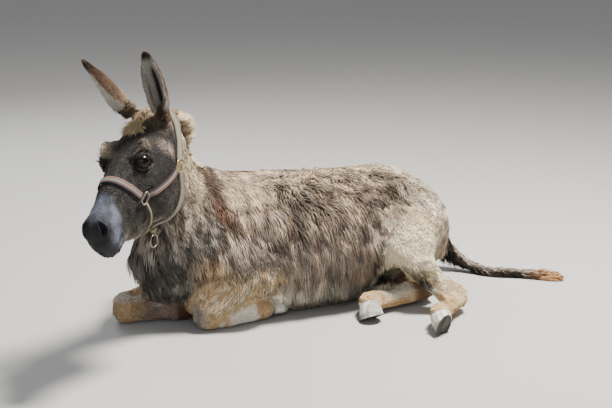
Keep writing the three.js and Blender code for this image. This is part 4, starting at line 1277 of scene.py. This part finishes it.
def hoof_piece(leg):
    """The hoof's solid, smoothed, with growth rings on its wall, a hollow sole and a frog."""
    name = f"{leg}_hoof"
    me = NODES[name].data.copy()
    me.transform(NODES[name].matrix_world)
    o = new_object(name + "_horn", me)
    me.materials.clear()
    remeshed(o, HOOF_VOXEL)
    me = o.data
    me.materials.append(HOOF_MATERIAL)
    p, _ = mesh_arrays(me)
    p = smoothed(p, edge_array(me), np.ones(len(p)), 140)
    set_vertices(me, p)
    _, out = mesh_arrays(me)
    coronet, toe, heel = HOOVES[leg]
    middle = (toe + heel) / 2
    axis = unit(middle - coronet)
    ahead = unit(toe - heel)
    aside = np.cross(axis, ahead)
    along = (p - coronet) @ axis
    t = along / np.linalg.norm(middle - coronet)
    a, b = (p - middle) @ ahead, (p - middle) @ aside
    sole = smoothstep(0.45, 0.75, out @ axis) * smoothstep(0.3, 0.5, t)
    inner = 1 - smoothstep(0.70, 0.86, np.hypot(a / 0.040, b / 0.037))
    frog = inner * (1 - smoothstep(0.004, 0.010, np.abs(b) - 0.30 * np.maximum(0.012 - a, 0) * (a < 0.012)))
    frog = frog * (1 - smoothstep(0.008, 0.014, a))
    rings = np.sin(t * 40 + 2 * noise(p, 0.03, 50)) * 0.0005 * (1 - sole)
    chips = -0.0016 * smoothstep(0.62, 0.8, noise(p, 0.009, 51)) * smoothstep(0.75, 0.95, t) * (1 - sole)
    p = p + out * (rings + chips - 0.0008)[:, None] - axis * (sole * inner * 0.0045 - frog * 0.003)[:, None]
    p[:, 2] = np.maximum(p[:, 2], 0)
    tint = mix("f1ede4", "b9b2a8", noise(p, 0.014, 9))
    tint = mix(tint, "5d564e", smoothstep(0.55, 0.8, noise(p, 0.03, 52)) * 0.5)
    tint = mix(tint, "2b2521", smoothstep(0.040, 0.008, p[:, 2] + 0.02 * (noise(p, 0.02, 54) - 0.5)) * 0.85)
    tint = mix(tint, "6b5c49", smoothstep(0.2, -0.05, t) * 0.5)
    tint = mix(tint, "3b342e", smoothstep(0.85, 1.0, t) * (1 - sole) * 0.5)
    tint = mix(tint, mix("1d1815", "3d332a", noise(p, 0.01, 53)), sole)
    tint = mix(tint, "100d0b", sole * inner * (1 - frog) * 0.5)
    set_vertices(me, p)
    set_colours(me, "horn", tint)
    set_smooth(me)
    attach(o, "root")
    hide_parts(name)


for leg in LEG_NAMES:
    hoof_piece(leg)


# ---------- the coat ----------
def flat_map():
    """An unwrap of the skin's own shape: returns where points of the skin lie on it."""
    o = new_object("unwrap", skin.data.copy())
    o.data.materials.clear()
    thin = o.modifiers.new("thin", "DECIMATE")
    thin.ratio = 9000 / len(o.data.polygons)
    apply_modifiers(o)
    bpy.ops.object.select_all(action="DESELECT")
    bpy.context.view_layer.objects.active = o
    o.select_set(True)
    bpy.ops.object.mode_set(mode="EDIT")
    bpy.ops.mesh.select_all(action="SELECT")
    bpy.ops.uv.smart_project(angle_limit=math.radians(66), island_margin=0.003)
    bpy.ops.object.mode_set(mode="OBJECT")
    me = o.data
    me.calc_loop_triangles()
    p, _ = mesh_arrays(me)
    tris = np.array([t.vertices for t in me.loop_triangles])
    loops = np.array([t.loops for t in me.loop_triangles])
    uv = np.empty(len(me.loops) * 2)
    me.uv_layers.active.data.foreach_get("uv", uv)
    uv = uv.reshape(-1, 2)[loops]
    tree = BVHTree.FromPolygons([tuple(x) for x in p], [tuple(t) for t in tris])
    bpy.data.objects.remove(o)
    bpy.data.meshes.remove(me)

    def at(points):
        found = [tree.find_nearest(tuple(x)) for x in points]
        face = np.array([f[2] for f in found])
        here = np.array([f[0] for f in found])
        a, b, c = (p[tris[face, k]] for k in range(3))
        e, g, h = b - a, c - a, here - a
        ee, eg, gg = (np.sum(x * y, axis=1) for x, y in ((e, e), (e, g), (g, g)))
        he, hg = np.sum(h * e, axis=1), np.sum(h * g, axis=1)
        det = np.maximum(ee * gg - eg * eg, 1e-14)
        s, t = (gg * he - eg * hg) / det, (ee * hg - eg * he) / det
        first, second, third = uv[face].swapaxes(0, 1)
        return first + (second - first) * s[:, None] + (third - first) * t[:, None]

    return at


map_of = flat_map()


def near_straps(p):
    far = np.full(len(p), 1.0)
    for line, width in strap_lines.values():
        far = np.minimum(far, near_line(p, line[::3])[0] - width / 2)
    return far


def edge_of_lids(q):
    """How far out from the eyes, where 1 is the edge of the lids."""
    return np.min([np.where(eye_place(q, s)[2] > 0, eye_place(q, s)[3], 9) for s in (1, -1)], axis=0)


def bare_places(p, n, where):
    """0 where no tuft grows: under the animal, on the eyes, in the nostrils and under the straps."""
    free = 1 - smoothstep(0.55, 0.8, -n[:, 2]) * (p[:, 2] < 0.03)
    free = free * (p[:, 2] > 0.002)
    free = free * np.where(where.head > 0.3, smoothstep(1.25, 1.5, edge_of_lids(where.q)), 1.0)
    free = free * (near_straps(p) > 0.0015)
    return free * (1 - smoothstep(0.15, 0.4, inside_nostril(where.q)))


def tufted_brows(where):
    """The fluffy places of the forehead: between the ears, and over each eye."""
    q = where.q * 1000
    f, l, u = q.T
    crown = (1 - smoothstep(50, 100, f)) * (1 - smoothstep(22, 40, np.abs(l))) * smoothstep(-60, -20, u)
    brows = blob(q, (196, -74, -10), (24, 24, 16)) + 0.55 * blob(q, (170, 74, -4), (26, 20, 14))
    return np.clip(np.maximum(crown, brows), 0, 1) * where.head * (1 - where.ear)


def thickness_of(p, n):
    where = Regions(p)
    d = np.ones(len(p))
    d = toward(d, 2.4, where.lower_leg)
    muzzle = smoothstep(0.33, 0.38, where.q[:, 0])
    d = toward(d, 3.4 - 2.8 * muzzle, where.head)
    d = toward(d, 3.6, where.ear)
    d = toward(d, 1.8, where.tail)
    return d * bare_places(p, n, where)


def hair_length(p, where):
    x, _, z = p.T
    f, _, u = (where.q * 1000).T
    length = 0.042 + 0.014 * noise(p, 0.08, 20)
    length += 0.034 * band(z, 0.13, 0.34, 0.06) * band(x, -0.34, 0.10, 0.08)  # the flank's hanging locks
    length -= 0.010 * smoothstep(0.38, 0.45, z) * band(x, -0.35, 0.5, 0.1)
    length -= 0.016 * smoothstep(0.30, 0.42, x)
    neck = smoothstep(-0.40, -0.50, x)
    length = toward(length, 0.034, neck)
    throat = neck * smoothstep(-0.52, -0.62, x) * smoothstep(0.34, 0.24, z - 0.25)
    length = length + 0.012 * throat + 0.022 * blob(p, (-0.63, -0.07, 0.20), (0.06, 0.10, 0.09))
    thigh = np.clip(blob(p, (0.30, -0.21, 0.18), (0.10, 0.14, 0.12)) * 1.5, 0, 1)
    length = toward(length, 0.015, thigh)
    length = toward(length, 0.008, flank_hollow(p))
    fore = [w * band(t, 0.0, 0.30, 0.08) for name, (w, t) in where.legs.items() if "fore" in name]
    forearm = np.max(fore, axis=0)
    length = toward(length, 0.018, where.leg) + 0.010 * forearm
    length = toward(length, 0.011, where.lower_leg)
    jaw = smoothstep(-110, -190, u)
    face = 0.008 + 0.007 * jaw - 0.0045 * smoothstep(325, 360, f)
    face = face + 0.010 * blob(where.q * 1000, (112, 84, -66), (26, 24, 34))
    face = face + 0.014 * blob(where.q * 1000, (372, 0, -170), (50, 60, 24))
    face = face + 0.010 * (1 - smoothstep(60, 130, f)) * smoothstep(-80, -30, u)
    length = toward(length, face, where.head)
    length = toward(length, 0.024, tufted_brows(where))
    length = toward(length, 0.009, where.ear)
    return toward(length, 0.022 + 0.05 * smoothstep(0.62, 0.72, x), where.tail)


root, out = sample(skin.data, COAT_TUFTS, thickness_of)
order = np.lexsort((root[:, 2], np.floor(root[:, 0] / 0.05)))
root, out = root[order], out[order]
where = Regions(root)
lie = lie_of_coat(root, out)
count = len(root)
wild = rng.normal(size=(count, 3))
x, y, z = root.T
fluffy = tufted_brows(where)
length = hair_length(root, where) * rng.uniform(0.7, 1.25, count)
far = near_straps(root)
length = np.where(far < 0.06, np.minimum(length, 0.006 + np.maximum(far, 0) * 0.8), length)
length = np.minimum(length, np.maximum(BOX_HIGH[0] - x, 0.008))
width = toward(0.0037, 0.0026, where.leg)
width = toward(width, 0.0018, np.maximum(where.head, where.ear))
width = toward(width, 0.0030, np.maximum(fluffy, where.tail))
width = width * rng.uniform(0.7, 1.3, count)

# Ears: hair in the hollow stands up from it, and is longest towards the ear's base.
for name in EAR_LINES:
    weight, place = where.ears[name]
    hollow, rim = ear_opening(name, root, out)
    length = length + (0.016 - length) * weight * hollow * (1 - place) * 0.8
    base, axis, facing, _ = ear_frame(name)
    lie = unit(lie + unit(axis * 0.9 + facing * 0.4) * (weight * hollow)[:, None] * 1.2)

curly = smoothstep(0.30, 0.42, z) * band(x, -0.14, 0.44, 0.1) * (1 - where.head)
lift = 0.20 + 0.30 * curly + 0.20 * fluffy + 0.1 * where.ear
lift = lift * rng.uniform(0.4, 1.6, count)
long_hair = np.clip((length - 0.014) / 0.03, 0, 1)
swirl = np.stack([noise(root, 0.055, 30 + k) for k in range(3)], 1) - 0.5
turn = np.stack([noise(root, 0.030, 34 + k) for k in range(3)], 1) - 0.5
aim = lie + swirl * (0.9 * long_hair)[:, None] + turn * (2.6 * curly + 0.4 * long_hair)[:, None]
aim = aim + wild * (0.08 + 0.08 * long_hair)[:, None]
aim = unit(aim - out * np.sum(aim * out, axis=1)[:, None])
start = unit(aim * np.cos(lift)[:, None] + out * np.sin(lift)[:, None])
sag = np.array([0, 0, -1.0]) * (0.55 * long_hair * (1 - where.ear))[:, None]
end = unit(aim + out * (0.05 * lift)[:, None] + sag)
pull = np.clip(0.9 * long_hair * rng.uniform(0.6, 1.15, count), 0, 0.95)
drawn, nearest, apart = clumped(root, end, length, 0.020, pull)
end = unit(end * 0.25 + drawn * 0.75)
start = unit(start + (drawn - start) * (0.35 * long_hair)[:, None])

root_tint, tip_tint = markings(root, out)
lock_tone = rng.normal(size=count)[nearest]
tone = np.exp(0.19 * lock_tone * long_hair + 0.10 * rng.normal(size=count))[:, None]
# Painted shade: tufts far from the middle of their lock are darker, as in the gaps between locks.
lock_gap_shade = smoothstep(0.011, 0.024, apart) * long_hair
tone = tone * (1 - 0.48 * lock_gap_shade)[:, None]
root_tint = root_tint * (0.82 + 0.10 * (1 - long_hair))[:, None] * tone
tip_tint = tip_tint * tone * (1 + 0.05 * lock_tone * long_hair)[:, None] ** np.array([1.0, 0.5, 0.0])
bake_at = map_of(root)
for k, low in enumerate(range(0, count, PIECE_TUFTS)):
    part = slice(low, min(low + PIECE_TUFTS, count))
    name = f"coat_{k + 1}"
    me = tuft_mesh(name, root[part], out[part], start[part], end[part], length[part], width[part],
                   width[part] * 0.4, root_tint[part], tip_tint[part], bake_at[part])
    o = new_object(name, me, TUFT)
    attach(o, "root")


# ---------- mane and forelock ----------
def extra_tufts(name, root, out, aim, length, width, dark, pale, replaces):
    n = len(root)
    tone = np.exp(0.25 * rng.normal(size=n))[:, None]
    ends = clumped(root, unit(aim + 0.15 * rng.normal(size=(n, 3))), length, 0.2, np.full(n, 0.35))[0]
    me = tuft_mesh(name, root, out, unit(aim * 0.8 + out * 0.3), ends, length, width, width * 0.4,
                   dark * tone, pale * tone, map_of(root))
    o = new_object(name, me, TUFT)
    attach(o, "root")
    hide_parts(*replaces)


place = np.sort(rng.uniform(0, 1, MANE_TUFTS))
line = curve_through(CREST_LINE, LINE_POINTS)
at = (place * (LINE_POINTS - 1)).astype(int)
down = unit(np.gradient(line, axis=0))[at]
sideways = unit(np.cross(down, CREST_UP))
half = 0.020 - 0.008 * place
offset = rng.normal(0, 0.5, MANE_TUFTS) * half
aimed = line[at] + CREST_UP * 0.12 + sideways * offset[:, None]
hit, out = on_skin(aimed)
fan = sideways * (offset / half)[:, None] * 0.35
aim = unit(CREST_UP + fan + down * 0.25)
length = (0.020 + 0.042 * band(place, 0.27, 0.5, 0.15) - 0.002 * place) * rng.uniform(0.7, 1.15, MANE_TUFTS)
dark = mix("6b523c", "9c8262", noise(hit, 0.05, 40))
pale = mix("cbb08a", "f6e6c6", noise(hit, 0.02, 41))
behind_ear = 1 - smoothstep(0.08, 0.2, place)
dark, pale = mix(dark, "4a372a", behind_ear), mix(pale, "9a7b5a", behind_ear)
extra_tufts("mane_tufts", hit, out, aim, length, np.full(MANE_TUFTS, 0.0026), dark, pale,
            ["mane"])

place = rng.uniform(0, 1, FORELOCK_TUFTS)
across = np.clip(rng.normal(0, 0.4, FORELOCK_TUFTS), -0.9, 0.9)
spots = np.stack([0.002 + 0.100 * place, -0.010 + across * 0.030, np.full(FORELOCK_TUFTS, 0.03)], 1)
hit, out = on_skin(from_head(spots))
clear = np.min([near_line(hit, line)[0] for line in EAR_LINES.values()], axis=0) > 0.036
hit, out, place, across = hit[clear], out[clear], place[clear], across[clear]
count = len(hit)
forward = np.stack([np.full(count, 0.9), across * 0.8, 0.35 - 0.2 * place], 1)
aim = unit(forward + 0.25 * rng.normal(size=(count, 3))) @ HEAD.T
length = 0.040 * rng.uniform(0.6, 1.2, count)
dark = mix("3d2d22", "6e5339", noise(hit, 0.03, 42))
pale = mix("a88960", "ead6ad", noise(hit, 0.018, 43))
extra_tufts("forelock_tufts", hit, out, aim, length, np.full(count, 0.0028), dark, pale,
            ["forelock"])

place = rng.uniform(0, 1, TAIL_TUFTS) ** 1.3
line = curve_through(TAIL_LINE, LINE_POINTS)
at = (place * (LINE_POINTS - 1)).astype(int)
along = unit(np.gradient(line, axis=0))[at]
round_it = unit(rng.normal(size=(TAIL_TUFTS, 3)) * [1, 1, 0.6] - [0, 0, 0.5])
hit, out = on_skin(line[at] + round_it * 0.03)
hang = np.array([0, 0, -1.0]) * (1 - smoothstep(0.15, 0.45, place))[:, None]
aim = unit(along * 0.8 + hang * 1.5 + 0.12 * rng.normal(size=(TAIL_TUFTS, 3)))
length = (0.030 + 0.055 * (1 - smoothstep(0.15, 0.45, place)) + 0.03 * smoothstep(0.8, 1.0, place))
length = length * rng.uniform(0.7, 1.1, TAIL_TUFTS)
length = np.minimum(length, np.maximum(hit[:, 2] - 0.004, 0.012) / np.maximum(-aim[:, 2], 0.15))
length = np.minimum(length, np.maximum(BOX_HIGH[0] - hit[:, 0], 0.008))
above = smoothstep(0.45, 0.8, out[:, 2])
orange = smoothstep(0.79, 0.87, hit[:, 0])
dark = mix(mix("0f0b0a", "6e6258", above), "7a4e2c", orange)
pale = mix(mix("231a16", "b3a493", above), "e3b07c", orange)
extra_tufts("tail_tufts", hit, out, aim, length, np.full(TAIL_TUFTS, 0.0030), dark, pale, [])

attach(skin, "root")
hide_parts(*FLESH)
